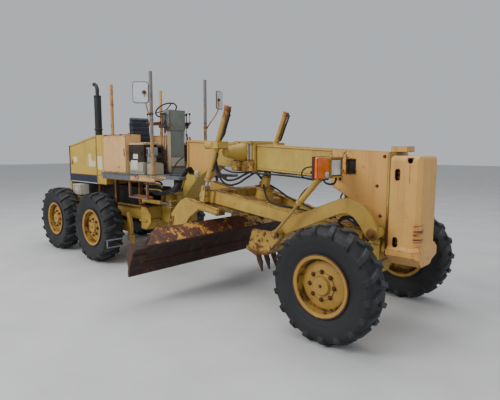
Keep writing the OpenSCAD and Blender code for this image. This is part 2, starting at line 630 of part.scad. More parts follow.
lamp_x = -222;
module lamps() place() both() {
  color(yellow) {
    bx(-316, -290, box_half, 900, 1800, 1830);
    bx(-300, -288, 372, 640, 1742, 1983);
    // frame round the head lamp
    difference() {
      bx(-290, lamp_x + 8, 374, 638, 1740, 1985);
      bx(-262, lamp_x + 40, 396, 616, 1762, 1963);
    }
  }
  // dark housing and lens of the turn lamp
  color([0.35, 0.1, 0.05]) bx(-292, -264, 656, 904, 1736, 1989);
  color([0.9, 0.4, 0.05]) side(664, 232, [[-265, 1744], [lamp_x, 1756], [lamp_x, 1969], [-265, 1981]]);
  color([0.9, 0.9, 0.88]) bx(-262, -236, 396, 616, 1762, 1963);
}

// Rear frame, hitch fork and the pin
module rear_frame() place() color(yellow) {
  // rails: channels open to the outside
  both() difference() {
    bx(-7050, -4250, rail_in, rail_out, rail_low, rail_high);
    bx(-6990, -4345, rail_in + 14, rail_out + 9, rail_low + 16, rail_high - 16);
  }
  bx(-7130, -7050, -500, 500, 760, sill_z);
  both() side(380, 60, [[-7050, rail_high - 1], [-7050, 1300], [-6900, rail_high - 1]]);
  // cross box before the gearbox and its lower step
  bx(-4330, -4150, -480, 480, 620, 1050);
  bx(-4360, -4130, -500, 500, 760, 800);
  both() side(464, 16, [[-4150, 640], [-4150, 1030], [-4020, 900], [-4020, 760]]);
  bx(-4160, -3860, -150, 150, 730, 1340);
  for (z = [[740, fork_low], [fork_high, 1325]]) {
    linear_fork(z[0], z[1]);
    zbar(pivot_x, 0, z[0], z[1], 130);
  }
  zbar(pivot_x, 0, 715, 1350, pivot_r);
  zbar(pivot_x, 0, 715, 740, 75);
  zbar(pivot_x, 0, 1325, 1350, 75);
  for (a = [0 : 60 : 300]) translate([pivot_x, 0, 0]) rotate([0, 0, a]) nut_z(58, 0, 1349, 1362, 12);
  // uprights to the deck and the hood
  both() for (x = [-4460, -5300]) {
    bx(x, x + 60, 380, rail_out, rail_high - 10, deck_z - 45);
    bx(x - 20, x + 80, 370, rail_out, deck_z - 57, deck_z - 45);
  }
  both() bx(-5950, -5890, 380, rail_out, rail_high - 10, 1540);
  // brackets of the white boxes
  both() bx(-6640, -6410, 380, rail_out, rail_high - 10, 1110);
  both() bx(-6640, -6410, 380, 600, 1085, 1110);
  // ears and pins of the hitch cylinders
  both() difference() {
    union() {
      for (z = [hc_z - hc_ear - 20, hc_z + hc_ear]) {
        bx(hc_rear - 50, hc_rear, 380, 485, z, z + 20);
        zbar(hc_rear, hc_y, z, z + 20, 46);
      }
      bx(hc_rear - 70, hc_rear - 48, 380, 485, 1010, hc_z + hc_ear + 20);
    }
    zbar(hc_rear, hc_y, 1000, 1300, hc_pin + fit);
  }
}
module linear_fork(z0, z1) translate([0, 0, z0]) linear_extrude(z1 - z0)
  polygon([[-3900, -190], [pivot_x, -130], [pivot_x, 130], [-3900, 190]]);
case_r = 190;
axle_tube_r = rail_low - tyre_r - seat_gap;
// inner and outer face of a tandem case, and the plane of its arms
case_in = rear_track - 360;
case_out = rear_track - 200;
scraper_y = case_in + 30;
module rear_axle() place() color(yellow) {
  ybar(-wheelbase, tyre_r, -case_in - 10, case_in + 10, axle_tube_r);
  both() ybar(-wheelbase, tyre_r, case_in - 50, case_in + 2, case_r - 20);
  both() {
    // tandem case with a cover on each end, each with its ring of bolts
    bx(aft_x, mid_x, case_in, case_out, tyre_r - case_r, tyre_r + case_r);
    for (x = [aft_x, mid_x]) {
      ybar(x, tyre_r, case_in, case_out, case_r);
      ybar(x, tyre_r, case_out - 2, case_out + 14, 150);
      for (a = [0 : 45 : 315]) nut_y(x + 128 * cos(a), tyre_r + 128 * sin(a), case_out + 12, case_out + 24, 13);
      ybar(x, tyre_r, case_out - 10, rear_track + 65, stub_r);
    }
    bx(-wheelbase - 90, -wheelbase + 90, case_in + 14, case_out - 14, tyre_r + case_r - 2, tyre_r + case_r + 14);
    // arm ahead of the middle wheel and the round bar loop on it
    side(scraper_y, 50, concat(arc(mid_x, tyre_r, 560, -20, 28, 5), arc(mid_x, tyre_r, 665, 28, -20, 5)));
    side(scraper_y, 50, [[mid_x + 120, tyre_r + 60], [mid_x + 560, tyre_r + 100], [mid_x + 560, tyre_r - 60],
      [mid_x + 120, tyre_r - 60]]);
    for (z = [372, 500]) ybar(mid_x + 690, z, scraper_y, rear_track + 210, 11, 16);
    zbar(mid_x + 690, rear_track + 210, 361, 511, 11, 16);
    bx(mid_x + 600, mid_x + 702, scraper_y, scraper_y + 50, 420, 520);
    bx(mid_x + 640, mid_x + 702, scraper_y, scraper_y + 50, 355, 425);
    // the same loop behind the rear wheel
    side(scraper_y, 50, [[aft_x - 120, tyre_r + 60], [aft_x - 590, tyre_r + 60], [aft_x - 620, tyre_r - 60],
      [aft_x - 120, tyre_r - 60]]);
  }
}
module engine() place() color(dark) {
  bx(-6600, -5520, -320, 320, 900, 2000);
  both() for (x = [-6400, -5750]) bx(x, x + 120, 300, rail_in, 900, 980);
  bx(-5520 + gap, -4400, -260, 260, rail_low + 20, 1350);
  bx(-wheelbase + 300, -wheelbase + 900, -180, 180, 620, rail_low + 21);
  both() bx(-4900, -4800, 240, rail_in, 900, 980);
}

// Hood: slant at the back, flat ahead
slant_x = -5860;
tail_x = -7110;
tail_z = 2150;
sill_z = 1365;
hood_front = -5370;
grille_n = 14;
module hood() place() color(yellow) {
  difference() {
    side(-hood_half, 2 * hood_half, [[tail_x, sill_z], [tail_x, tail_z], [slant_x, hood_top],
      [hood_front, hood_top], [hood_front, deck_z + gap], [-5500, deck_z + gap], [-5500, sill_z]]);
    side(-hood_half + 12, 2 * hood_half - 24, [[tail_x + 30, sill_z - 9], [tail_x + 30, tail_z - 10],
      [slant_x, hood_top - 14], [hood_front - 12, hood_top - 14], [hood_front - 12, 1600], [-5512, 1600],
      [-5512, sill_z - 9]]);
    // door openings over the sill
    both() side(hood_half - 20, 40, [[tail_x + 50, 1535], [tail_x + 50, tail_z - 25],
      [slant_x - 20, hood_top - 38], [slant_x - 20, 1535]]);
    // radiator opening
    bx(tail_x - 9, tail_x + 40, -400, 400, 1450, 2060);
  }
  // slats and the middle post of the radiator grille
  for (i = [0 : grille_n - 1]) side(-402, 804, [[tail_x + 3, 1466 + 43 * i], [tail_x + 26, 1480 + 43 * i],
    [tail_x + 26, 1484 + 43 * i], [tail_x + 3, 1470 + 43 * i]]);
  bx(tail_x + 2, tail_x + 27, -10, 10, 1448, 2062);
  // sheet behind the slats keeps the wall whole
  bx(tail_x + 26, tail_x + 30, -402, 402, 1448, 2062);
  // cap strip over the seam between door and front sheet
  both() bx(slant_x - 12, slant_x + 14, hood_half - 6, hood_half + 5, 1380, hood_top - 12);
  both() bx(slant_x + 14, hood_front - 2, hood_half - 4, hood_half + 4, 1545, 1556);
  // filler neck
  zbar(-5640, 160, hood_top - 2, hood_top + 42, 45);
  zbar(-5640, 160, hood_top + 42, hood_top + 62, 56);
}
module door_shape() {
  side(hood_half - 12, 12, [[tail_x + 54, 1539], [tail_x + 54, tail_z - 30],
    [slant_x - 30, hood_top - 44], [slant_x - 30, 1539]]);
  for (z = [[1560, 1700], [2120, 2260]])
    zbar(slant_x - 30, hood_half - 4, z[0], z[1], 10 - seat_gap, 16);
  // stiffening frame inside and the latch outside
  side(hood_half - 30, 19, [[tail_x + 80, 1570], [tail_x + 110, 1570], [tail_x + 110, tail_z - 40],
    [tail_x + 80, tail_z - 46]]);
  bx(-7010, -6935, hood_half - 1, hood_half + 9, 1770, 1850);
  bx(-6995, -6950, hood_half + 8, hood_half + 20, 1790, 1815);
}
module engine_door_L() place() color(yellow) door_shape();
module engine_door_R() place() color(yellow) mirror([0, 1, 0]) door_shape();
stack_x = -6130;
module stack() place() color(dark) {
  difference() {
    zbar(stack_x, -290, 2280, 3180, 72);
    side(-hood_half, hood_half, [[tail_x, sill_z], [tail_x, tail_z], [slant_x, hood_top], [slant_x, sill_z]]);
  }
  // seams and the clamp with its tail
  zbar(stack_x, -290, 3165, 3190, 76);
  zbar(stack_x, -290, 2480, 2505, 84);
  bx(stack_x - 160, stack_x - 60, -305, -275, 2480, 2505);
  zbar(stack_x, -290, 3180, 3300, 38);
  // elbow
  intersection() {
    translate([stack_x - 130, -290, 3300]) rotate([90, 0, 0]) rotate_extrude($fn = fine)
      translate([130, 0]) circle(r = 38, $fn = 24);
    bx(stack_x - 130, stack_x + 60, -400, -200, 3300, 3500);
  }
}
module side_boxes() place() color(cream) {
  both() {
    bx(-5360, -4550, 300, 616, deck_z + gap, 2335);
    // cover sheet held by a frame of strips, and its pressed edges
    bx(-5348, -4562, 600, 621, deck_z + 14, 2322);
    bx(-5360, -4550, 296, 628, 2335, 2347);
    // white box on its bracket
    difference() {
      bx(-6700, -6350, 445, 640, 1110, 1330);
      bx(-6660, -6390, 630, 650, 1140, 1300);
    }
    bx(-6640, -6410, 622, 636, 1160, 1280);
  }
}
module deck() place() color(steel) {
  bx(-5400, -3565, -deck_half, deck_half, deck_z - 45, deck_z);
  // edge of the front platform stands down over its frame
  both() bx(-4080, -3565, deck_half - 14, deck_half + 8, deck_z - 62, deck_z - 4);
  both() difference() {
    bx(-3600, -2950, 520, deck_half, deck_z - 45, deck_z);
    bx(-3560, -2964, 534, deck_half - 14, deck_z - 60, deck_z - 12);
  }
  // side treads with their edge strip
  both() bx(-5050, -3390, deck_half - 10, 820, 1560, 1600);
  both() bx(-5050, -3390, 805, 820, 1530, 1615);
  both() for (x = [-5030 : 150 : -3450]) bx(x, x + 60, 690, 780, 1598, 1604);
  // ladder: two straps, a tread with side plates
  both() for (x = [-4190, -3660]) bx(x, x + 36, 770, 806, 1250, 1570);
  both() bx(-4190, -3624, 690, 806, 1235, 1262);
  both() bx(-4190, -3624, 690, 702, 1255, 1285);
  // beams under the platform
  for (x = [-4700, -4250, -3800]) {
    bx(x, x + 50, -600, 600, deck_z - 85, deck_z - 44);
    both() bx(x, x + 50, 560, 800, deck_z - 100, deck_z - 69);
  }
}
module cabinet() place() color([0.2, 0.12, 0.08]) both() {
  bx(-4540, -4065, 285, 560, deck_z, 2150);
  bx(-4520, -4085, 556, 568, deck_z + 40, 1830);
  bx(-4520, -4085, 556, 566, 1860, 2130);
  side(275, 295, [[-4548, 2150], [-4548, 2180], [-4530, 2194], [-4070, 2194], [-4052, 2180], [-4052, 2150]]);
  // low boxes ahead of it
  bx(-4040, -3850, 300, 520, deck_z, 1820);
  bx(-4030, -3860, 310, 510, 1820, 1835);
}
module seat_base() place() color(grey) {
  bx(-5050, -4560, -230, 230, deck_z, 1900);
  side(-200, 400, [[-5010, 1900], [-4990, 2025], [-4560, 2025], [-4540, 1900]]);
  // slides
  both() bx(-5010, -4530, 150, 185, 2025, 2040);
}
// cushion and back of one thickness, rounded at the edges
module seat() place() color(dark) {
  intersection() {
    side(-250, 500, [[-5020, 2060], [-4990, 2040], [-4520, 2040], [-4495, 2075], [-4500, 2140],
      [-4560, 2172], [-4980, 2160], [-5015, 2150]]);
    translate([0, 0, 2000]) linear_extrude(300) polygon(concat(arc(-4565, 180, 70, 90, 0, 5),
      arc(-4565, -180, 70, 0, -90, 5), arc(-4965, -200, 50, -90, -180, 4), arc(-4965, 200, 50, 180, 90, 4)));
  }
  intersection() {
    side(-245, 490, [[-5015, 2130], [-4945, 2150], [-4985, 2420], [-5020, 2690], [-5050, 2715],
      [-5085, 2700], [-5090, 2400], [-5060, 2200]]);
    translate([-5150, 0, 0]) rotate([90, 0, 90]) linear_extrude(300) polygon(concat([[-235, 2100], [235, 2100],
      [245, 2450]], arc(165, 2645, 70, 0, 90, 5), arc(-165, 2645, 70, 90, 180, 5), [[-245, 2450]]));
  }
}
lever_n = 4;
module console() place() color(grey) {
  // column and the head box with its sloping back
  bx(-3935, -3825, -150, 150, deck_z, 2420);
  bx(-3960, -3815, -165, 165, deck_z, deck_z + 30);
  side(-175, 350, [[-3965, 2400], [-4040, 2520], [-4020, 2700], [-3985, 2770], [-3822, 2770], [-3822, 2400]]);
  bx(-3826, -3818, -160, 160, 2415, 2755);
  translate(wheel_c) rotate([0, wheel_tilt, 0]) translate([0, 0, -280])
    cylinder(r = 30, h = 220 - seat_gap, $fn = fine);
  // lever banks on brackets at both sides, with rods down to the deck
  both() {
    bx(-4030, -3830, 170, 262, 2455, 2500);
    for (i = [0 : lever_n - 1]) let (x = -4000 + 48 * i) {
      zbar(x, 232, 2495, 2690, 7, 16);
      translate([x, 232, 2698]) sphere(r = 17, $fn = 16);
      zbar(x, 232, deck_z, 2460, 6, 16);
    }
    bx(-4020, -3836, 215, 249, deck_z, deck_z + 60);
  }
}
wheel_c = [-4150, 0, 2790];
wheel_tilt = -35;
module steering_wheel() place() color(dark) translate(wheel_c) rotate([0, wheel_tilt, 0]) {
  rotate_extrude($fn = fine) translate([200, 0]) circle(r = 13, $fn = 16);
  translate([0, 0, -60]) cylinder(r = 24, h = 66, $fn = fine);
  for (a = [0, 120, 240]) rotate([0, 0, a]) translate([15, -10, -6]) cube([180, 20, 8]);
}
module posts() place() color(grey) both() {
  zbar(post_front_x, post_y, deck_z, 3360, post_r);
  zbar(post_front_x, post_y, deck_z, deck_z + 12, post_r + 26);
  zbar(post_rear_x, post_y - 40, 2347, 3280, post_r);
  zbar(post_rear_x, post_y - 40, 2347, 2359, post_r + 24);
  // sockets where the roof's legs were pinned
  zbar(post_front_x, post_y, 2560, 2580, post_r + 5);
  zbar(post_rear_x, post_y - 40, 2900, 2920, post_r + 5);
}
module mirrors() place() color(grey) both() {
  // plate with rounded corners, turned towards the driver
  translate([-3600, 930, 2970]) rotate([0, 0, 47]) rotate([90, 0, 90]) translate([0, 0, -9])
    linear_extrude(18) polygon(concat(arc(115, 125, 45, 0, 90, 4), arc(-115, 125, 45, 90, 180, 4),
      arc(-115, -125, 45, 180, 270, 4), arc(115, -125, 45, 270, 360, 4)));
  // bent arm from a clamp on the post
  difference() {
    zbar(post_front_x, post_y, 2715, 2765, post_r + 14);
    zbar(post_front_x, post_y, 2700, 2780, post_r + seat_gap);
  }
  ybar(post_front_x, 2740, post_y + post_r + 8, 930, 12, 16);
  translate([post_front_x, 930, 2740]) sphere(r = 12, $fn = 16);
  lean(post_front_x, 2740, -3600, 2960, 930, 12, 16);
  translate([-3600, 930, 2965]) sphere(r = 24, $fn = 24);
}

// Hitch cylinders: barrel on the rear frame, rod to the front frame
hc_y = 430;
hc_z = 1140;
// half the space between the ears
hc_ear = 40;
hc_rear = pivot_x - 640;
hc_front = pivot_x + 170;
hc_pin = 18;
module artic_barrel() difference() {
  union() {
    xbar(hc_rear, hc_front - 270, hc_y, hc_z, 36);
    zbar(hc_rear, hc_y, hc_z - hc_ear + 2, hc_z + hc_ear - 2, 42);
    zbar(hc_rear, hc_y, hc_z - hc_ear - 30, hc_z + hc_ear + 30, hc_pin);
  }
  xbar(hc_rear + 50, hc_front + 100, hc_y, hc_z, 21 + fit);
}
module artic_rod() {
  xbar(hc_front - 520, hc_front - 20, hc_y, hc_z, 21);
  zbar(hc_front, hc_y, hc_z - 24, hc_z + 24, 32);
}
module artic_barrel_L() place() color(yellow) artic_barrel();
module artic_barrel_R() place() color(yellow) mirror([0, 1, 0]) artic_barrel();
module artic_rod_L() place() color(steel) artic_rod();
module artic_rod_R() place() color(steel) mirror([0, 1, 0]) artic_rod();

rear_frame();
rear_axle();
engine();
hood();
engine_door_R();
engine_door_L();
stack();
side_boxes();
deck();
cabinet();
seat_base();
seat();
console();
steering_wheel();
posts();
mirrors();
tyre_FR();
rim_FR();
tyre_FL();
rim_FL();
tyre_MR();
rim_MR();
tyre_ML();
rim_ML();
tyre_RR();
rim_RR();
tyre_RL();
rim_RL();
front_frame();
saddle();
lift_barrels();
lift_rods();
drawbar();
circle_ring();
tilt_brackets();
moldboard();
scarifier();
scarifier_barrels();
scarifier_rods();
front_axle();
knuckle_R();
knuckle_L();
tie_rod();
counterweight();
lamps();
artic_barrel_R();
artic_barrel_L();
artic_rod_R();
artic_rod_L();
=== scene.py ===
# %% [markdown]
# # Dressing an old road grader
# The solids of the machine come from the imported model. This lesson gives them their worn paint,
# rust, rubber and vinyl, adds the parts that are too soft or too small for the solids, and lights
# the whole in a plain studio. Everything is in metres: X runs ahead, Y to the machine's left, Z up.

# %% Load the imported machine
import bpy, bmesh, math
from mathutils import Matrix, Vector


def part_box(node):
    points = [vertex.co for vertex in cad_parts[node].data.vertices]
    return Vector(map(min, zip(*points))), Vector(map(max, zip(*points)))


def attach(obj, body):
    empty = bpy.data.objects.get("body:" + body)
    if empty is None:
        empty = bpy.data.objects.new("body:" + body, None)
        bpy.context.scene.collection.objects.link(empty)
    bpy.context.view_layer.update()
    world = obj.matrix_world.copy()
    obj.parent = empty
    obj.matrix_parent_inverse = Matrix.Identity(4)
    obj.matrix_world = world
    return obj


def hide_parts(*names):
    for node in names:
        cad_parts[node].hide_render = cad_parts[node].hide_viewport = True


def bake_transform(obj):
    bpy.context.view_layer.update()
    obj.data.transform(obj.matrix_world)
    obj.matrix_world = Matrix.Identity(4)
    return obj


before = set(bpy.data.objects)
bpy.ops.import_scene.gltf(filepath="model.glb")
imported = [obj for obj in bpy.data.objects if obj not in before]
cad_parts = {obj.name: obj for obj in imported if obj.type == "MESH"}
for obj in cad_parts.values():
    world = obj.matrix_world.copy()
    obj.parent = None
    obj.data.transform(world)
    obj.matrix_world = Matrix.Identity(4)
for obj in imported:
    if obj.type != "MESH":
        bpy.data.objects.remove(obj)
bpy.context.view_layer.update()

AXLE_X = 3.248                      # front axle line, measured from the middle of the machine
TYRE_R = 0.64                      # so every axle stands this high
SIDES = ((-1, "R"), (1, "L"))       # which way Y runs on the machine's right and left

# %% [markdown]
# ## Where the camera stands
# The view was worked out from wheels and posts whose sizes are known. A camera is a frame of three
# directions: right, up and back. Writing them straight into its matrix avoids any doubt about the
# order of angles.

# %% The camera
def new_object(name, data):
    """An object for a mesh, a curve, a lamp or a camera, linked into the scene."""
    made = bpy.data.objects.new(name, data)
    bpy.context.collection.objects.link(made)
    return made

def camera_at(place, turn, dip, roll, lens):
    turn, dip, roll = (math.radians(a) for a in (turn, dip, roll))
    ahead = Vector((math.cos(dip) * math.cos(turn), math.cos(dip) * math.sin(turn), -math.sin(dip)))
    right = Vector((math.sin(turn), -math.cos(turn), 0))
    up = right.cross(ahead)
    right, up = (right * math.cos(roll) + up * math.sin(roll),
                 up * math.cos(roll) - right * math.sin(roll))
    data = bpy.data.cameras.new("view")
    data.lens, data.sensor_width = lens, 36
    camera = new_object("view", data)
    camera.matrix_world = Matrix((right, up, -ahead)).transposed().to_4x4()
    camera.location = place
    bpy.context.scene.camera = camera
    return camera

camera = camera_at((AXLE_X + 2.381, -4.816, 2.057), 132.596, 6.672, 0.095, 30.57)
print("camera at", [round(v, 2) for v in camera.location])

# %% [markdown]
# ## Maths on sockets
# A material is a graph of nodes. To write `1 - mask` in place of adding a node by hand, a small
# class wraps one output socket and turns Python's operators into Math nodes. Every other node comes
# from one method: its settings first, then what goes into its sockets.

# %% A socket that Python can calculate with
def feed(tree, socket, value):
    """Links a Wire to a socket, or sets the socket to a plain value."""
    if isinstance(value, Wire):
        tree.links.new(value.socket, socket)
    else:
        socket.default_value = value

class Wire:
    def __init__(self, tree, socket):
        self.tree, self.socket = tree, socket

    def node(self, kind, settings, inputs, output=0):
        made = self.tree.nodes.new("ShaderNode" + kind)
        for key, value in settings.items():
            setattr(made, key, value)
        for key, value in inputs.items():
            feed(self.tree, made.inputs[key], value)
        return Wire(self.tree, made.outputs[output])

    def maths(self, operation, a, b=0.0):
        return self.node("Math", {"operation": operation}, {0: a, 1: b})

    def __add__(self, other): return self.maths("ADD", self, other)
    def __radd__(self, other): return self.maths("ADD", other, self)
    def __sub__(self, other): return self.maths("SUBTRACT", self, other)
    def __rsub__(self, other): return self.maths("SUBTRACT", other, self)
    def __mul__(self, other): return self.maths("MULTIPLY", self, other)
    def __rmul__(self, other): return self.maths("MULTIPLY", other, self)

    def ramp(self, low, high, clamp_to=1.0):
        """0 below low, clamp_to above high, straight between."""
        return self.node("MapRange", {"clamp": True},
                         {"Value": self, "From Min": low, "From Max": high, "To Max": clamp_to})

    def noise(self, scale, detail=5.0, rough=0.55, stretch=None):
        place = self.node("Mapping", {}, {"Vector": self, "Scale": stretch}) if stretch else self
        return self.node("TexNoise", {},
                         {"Vector": place, "Scale": scale, "Detail": detail, "Roughness": rough})

    def part(self, axis):
        return self.node("SeparateXYZ", {}, {0: self}, "XYZ".index(axis))

    def blend(self, a, b):
        """Colour a where this mask is 0, b where it is 1. A colour may be its six-figure code."""
        a, b = (ink(colour) if isinstance(colour, str) else colour for colour in (a, b))
        return self.node("Mix", {"data_type": "RGBA"}, {0: self, 6: a, 7: b}, 2)

    def bump(self, strength, distance, **normal):
        """The normal of a surface with this height. Normal= gives the one that it starts from."""
        return self.node("Bump", {}, {"Strength": strength, "Distance": distance, "Height": self, **normal})


def ink(code):
    """A colour from its six-figure code, as the linear light that a shader works in."""
    parts = [int(code[i:i + 2], 16) / 255 for i in (0, 2, 4)]
    return tuple(p / 12.92 if p <= 0.04045 else ((p + 0.055) / 1.055) ** 2.4 for p in parts) + (1,)


def new_material(name):
    """An empty material, and the place on the object as a Wire."""
    material = bpy.data.materials.new(name)
    material.use_nodes = True
    here = Wire(material.node_tree, None).node("TexCoord", {}, {}, "Object")
    return material, Place(here.tree, here.socket)


def plug(material, **sockets):
    """Gives the sockets of a material's shader a Wire or a plain value each."""
    shader = material.node_tree.nodes["Principled BSDF"]
    for name, value in sockets.items():
        feed(material.node_tree, shader.inputs[name.replace("_", " ")], value)

def largest(first, *rest):
    for mask in rest:
        first = first.maths("MAXIMUM", first, mask)
    return first

# %% [markdown]
# ## Worn paint
# Old paint on a work machine is never one colour. The sun bleaches it in large clouds, rain draws
# dark runs down every wall, and edges lose their paint first and rust starts there. Each of these is a
# mask between 0 and 1, and the masks are laid over each other. Dust also settles low down, with no mask
# for it here. A Bevel node also rounds the light on sharp edges, which tells the eye that the steel is
# folded and welded.

# %% A recipe for worn paint
RUST, RUST_DARK, RUST_STAIN, GRIME = "7A4526", "3E2618", "8E5F30", "4B4234"

def edge_of(here, reach):
    """A mask that is 1 on the sharp edges of a piece, and the rounded normal that found them."""
    round_normal = here.node("Bevel", {"samples": 4}, {"Radius": reach})
    flat = here.node("NewGeometry", {}, {}, "Normal")
    same = here.node("VectorMath", {"operation": "DOT_PRODUCT"}, {0: round_normal, 1: flat}, "Value")
    return same.ramp(0.985, 0.8), round_normal

def worn_paint(name, light, deep, rust=0.5, runs=0.5, gloss=0.42, tops=0.0, more=None):
    """Two tones of a paint with its rust and its dark runs. more(here) may yield further paints, each
    as a mask and a colour, and tops is for flaking on what faces up."""
    material, here = new_material(name)
    clouds = here.noise(0.9, 4)
    mottle = here.noise(7.0, 6, 0.65)
    colour = (clouds * 0.6 + mottle * 0.4).ramp(0.36, 0.64).blend(light, deep)
    for mask, second in more(here) if more else ():
        colour = mask.blend(colour, second)
    streaks = here.noise(1.0, 5, 0.6, (11, 11, 0.55)).ramp(0.54, 0.72) * clouds.ramp(0.38, 0.6)
    colour = (streaks * runs).blend(colour, GRIME)
    edge, rounded = edge_of(here, 0.02)
    worn = (edge * 0.45 + here.noise(24, 8, 0.7) - 0.77).ramp(0.0, 0.08)
    spots = here.noise(5, 9, 0.72).ramp(0.655 - 0.1 * rust, 0.7 - 0.08 * rust)
    spots = largest(spots, here.noise(17, 5, 0.6).ramp(0.74 - 0.08 * rust, 0.76 - 0.08 * rust))
    if tops:
        upward = here.node("TexCoord", {}, {}, "Normal").part("Z").ramp(0.75, 0.95)
        spots = largest(spots, upward * here.noise(6, 9, 0.78).ramp(0.62 - 0.2 * tops, 0.66 - 0.2 * tops))
    stain = here.noise(1.6, 6, 0.7, (5, 5, 0.7)).ramp(0.6 - 0.08 * rust, 0.78) * rust
    colour = (stain * 0.8).blend(colour, RUST_STAIN)
    bare = largest(worn, spots * (0.5 + 0.5 * rust))
    colour = bare.blend(colour, here.noise(40, 4).blend(RUST, RUST_DARK))
    relief = mottle * 0.6 + here.noise(160, 3) * 0.15 - bare * 0.35
    plug(material, Base_Color=colour, Roughness=bare * 0.35 + (gloss + 0.12 * mottle),
         Normal=relief.bump(0.25, 0.004, Normal=rounded), Specular_IOR_Level=0.4)
    return material

# %% [markdown]
# Some nodes carry two paints, such as the dark band along the foot of the hood. A mask made from the
# place itself, with soft limits, lays the second paint over the first. `Place` adds such masks to a
# Wire: lengths count from the front axle, heights from the ground. Each function below then hands
# over its paints one after another, as a mask and a colour.

# %% Masks from the place on the machine
class Place(Wire):
    def band(self, axis, low, high, soft=0.004):
        where = self.part(axis)
        return where.ramp(low - soft, low + soft) * (1 - where.ramp(high - soft, high + soft))

    def along(self, x0, x1, soft=0.004):
        return self.band("X", AXLE_X + x0, AXLE_X + x1, soft)

    def height(self, z0, z1, soft=0.004):
        return self.band("Z", z0, z1, soft)

    def patch(self, x0, x1, z0, z1):
        """A rectangle on a side wall."""
        return self.along(x0, x1) * self.height(z0, z1)

    def beyond(self, y):
        """Everything further than y from the middle plane, on both sides."""
        return self.maths("ABSOLUTE", self.part("Y")).ramp(y - 0.001, y + 0.001)

    def radius(self, x):
        """The distance from the axle of a wheel that stands x ahead of the front axle."""
        flat = self.node("VectorMath", {"operation": "MULTIPLY"}, {0: self, 1: (1, 0, 1)})
        axle = (AXLE_X + x, 0, TYRE_R)
        return flat.node("VectorMath", {"operation": "DISTANCE"}, {0: flat, 1: axle}, "Value")

# %% Second paints of the rear half
def hood_bands(here):
    """The dark blue foot with its white line, the blue corner, and the marks of labels long gone."""
    gone = largest(here.patch(-6.909, -6.738, 1.796, 1.91), here.patch(-6.21, -6.1, 1.715, 1.981),
                   here.patch(-6.21, -5.931, 1.717, 1.832), here.patch(-5.839, -5.644, 1.66, 1.932))
    yield gone * (0.35 + here.noise(30) * 0.9), "DDD5BC"
    yield largest(here.patch(-7.2, -5.872, 1.36, 1.533), here.along(-7.2, -7.052)), "20263A"
    yield here.patch(-7.05, -5.872, 1.36, 1.383), "C9CACB"
    yield here.along(-5.878, -5.862, 0.002), "2E2117"

def box_bands(here):
    """Peach boxes rubbed blue along their edges; the small boxes below are white."""
    rim = largest(here.along(-4.575, -4.5), here.height(2.315, 2.4))
    yield largest(here.noise(3.4, 9, 0.8).ramp(0.63, 0.65) * 0.6,
                  rim * here.noise(12, 6, 0.7).ramp(0.6, 0.63) * 0.8), "6A6C74"
    yield here.height(1.0, 1.4), "C9C6BA"

def deck_bands(here):
    """Rusty peach on what hangs below the platform, worn steel above."""
    yield here.height(1.0, 1.548) * here.noise(7, 7, 0.7).ramp(0.36, 0.5), "8A5A30"
    rim = here.height(1.548, 1.622) * here.beyond(0.652) * here.along(-4.1, -3.3)
    yield rim * here.noise(9, 7, 0.7).ramp(0.42, 0.5), "C59F62"

def rear_bands(here):
    """The uprights and all that sits under the platform are brown with rust and oil."""
    yield here.patch(-6.0, -4.0, 1.022, 1.62) * here.noise(4, 7, 0.7).ramp(0.33, 0.5), "5B3A22"

def axle_marks(here):
    """The bar loop on each arm is bare steel."""
    yield here.beyond(0.705) * here.along(-4.335, -4.285), "7C8087"

def post_top(here):
    """The front posts have lost their paint above the wheel's height."""
    up = here.part("Z")
    bare = (up + here.noise(6) * 0.5).ramp(2.62, 2.85) * 0.09 + up.ramp(1.85, 2.1) * 0.045
    streaky = here.noise(1.0, 8, 0.8, (20, 20, 6.0))
    worn = (streaky + here.along(-3.9, -3.6) * bare - 0.545).ramp(0, 0.03)
    yield worn * 0.9, here.noise(30).blend("79818B", "4F565F")
    yield worn * (1 - worn) * 2.5, "5C3620"

def cabinet_bands(here):
    """A pale foot and a cream lid."""
    yield here.height(1.0, 1.845) * 0.9, "A9A28E"
    yield here.height(2.15, 2.3), "B7A079"

def console_sides(here):
    """Cream sides, a pale patch with a rusty line at the foot of the front, and dark lever rails."""
    yield here.beyond(0.149) * here.height(1.66, 2.42) * (1 - here.beyond(0.17)) * 0.9, "B5A886"
    front = here.along(-3.83, -3.7) * (1 - here.beyond(0.165))
    yield front * here.height(1.775, 1.925) * 0.9, "AFAC98"
    yield front * here.height(1.735, 1.77), "6E3D20"
    yield here.beyond(0.215), "3A2A20"

# %% Second paints of the front half
def front_plates(here):
    """The box plates, the beam's top and the bend were painted over in peach."""
    strip = here.along(0.281, 0.32)
    front = here.along(-0.47, 0.5) * (1 - here.height(0, 1.22, 0.05)) * (1 - strip)
    slope = (here.part("Z") + here.part("X") * 0.054).ramp(2.19, 2.2)
    top = here.along(-1.75, -0.3, 0.05) * here.beyond(0.1645) * slope
    neck = here.along(-3.9, -2.75, 0.06) * here.height(1.72, 2.3, 0.06)
    yield largest(front, top * 0.7, neck * 0.85), "CE9A54"
    foot = strip * (here.noise(9, 7, 0.7) * 0.5 + 1.22 - here.part("Z")).ramp(0.0, 0.25)
    corner = here.patch(-0.5, -0.22, 1.955, 2.2) * here.noise(12, 8, 0.75).ramp(0.54, 0.6)
    yield largest(foot, corner), "5A3019"
    yield here.patch(-0.275, -0.115, 1.76, 1.97) * here.noise(20, 6, 0.7).ramp(0.48, 0.58) * 0.8, "6A4020"
    # A recess in the plate is painted near black inside: painted shade.
    yield here.patch(-0.262, -0.128, 1.772, 1.958) * (1 - here.beyond(0.2192)), "1E130D"

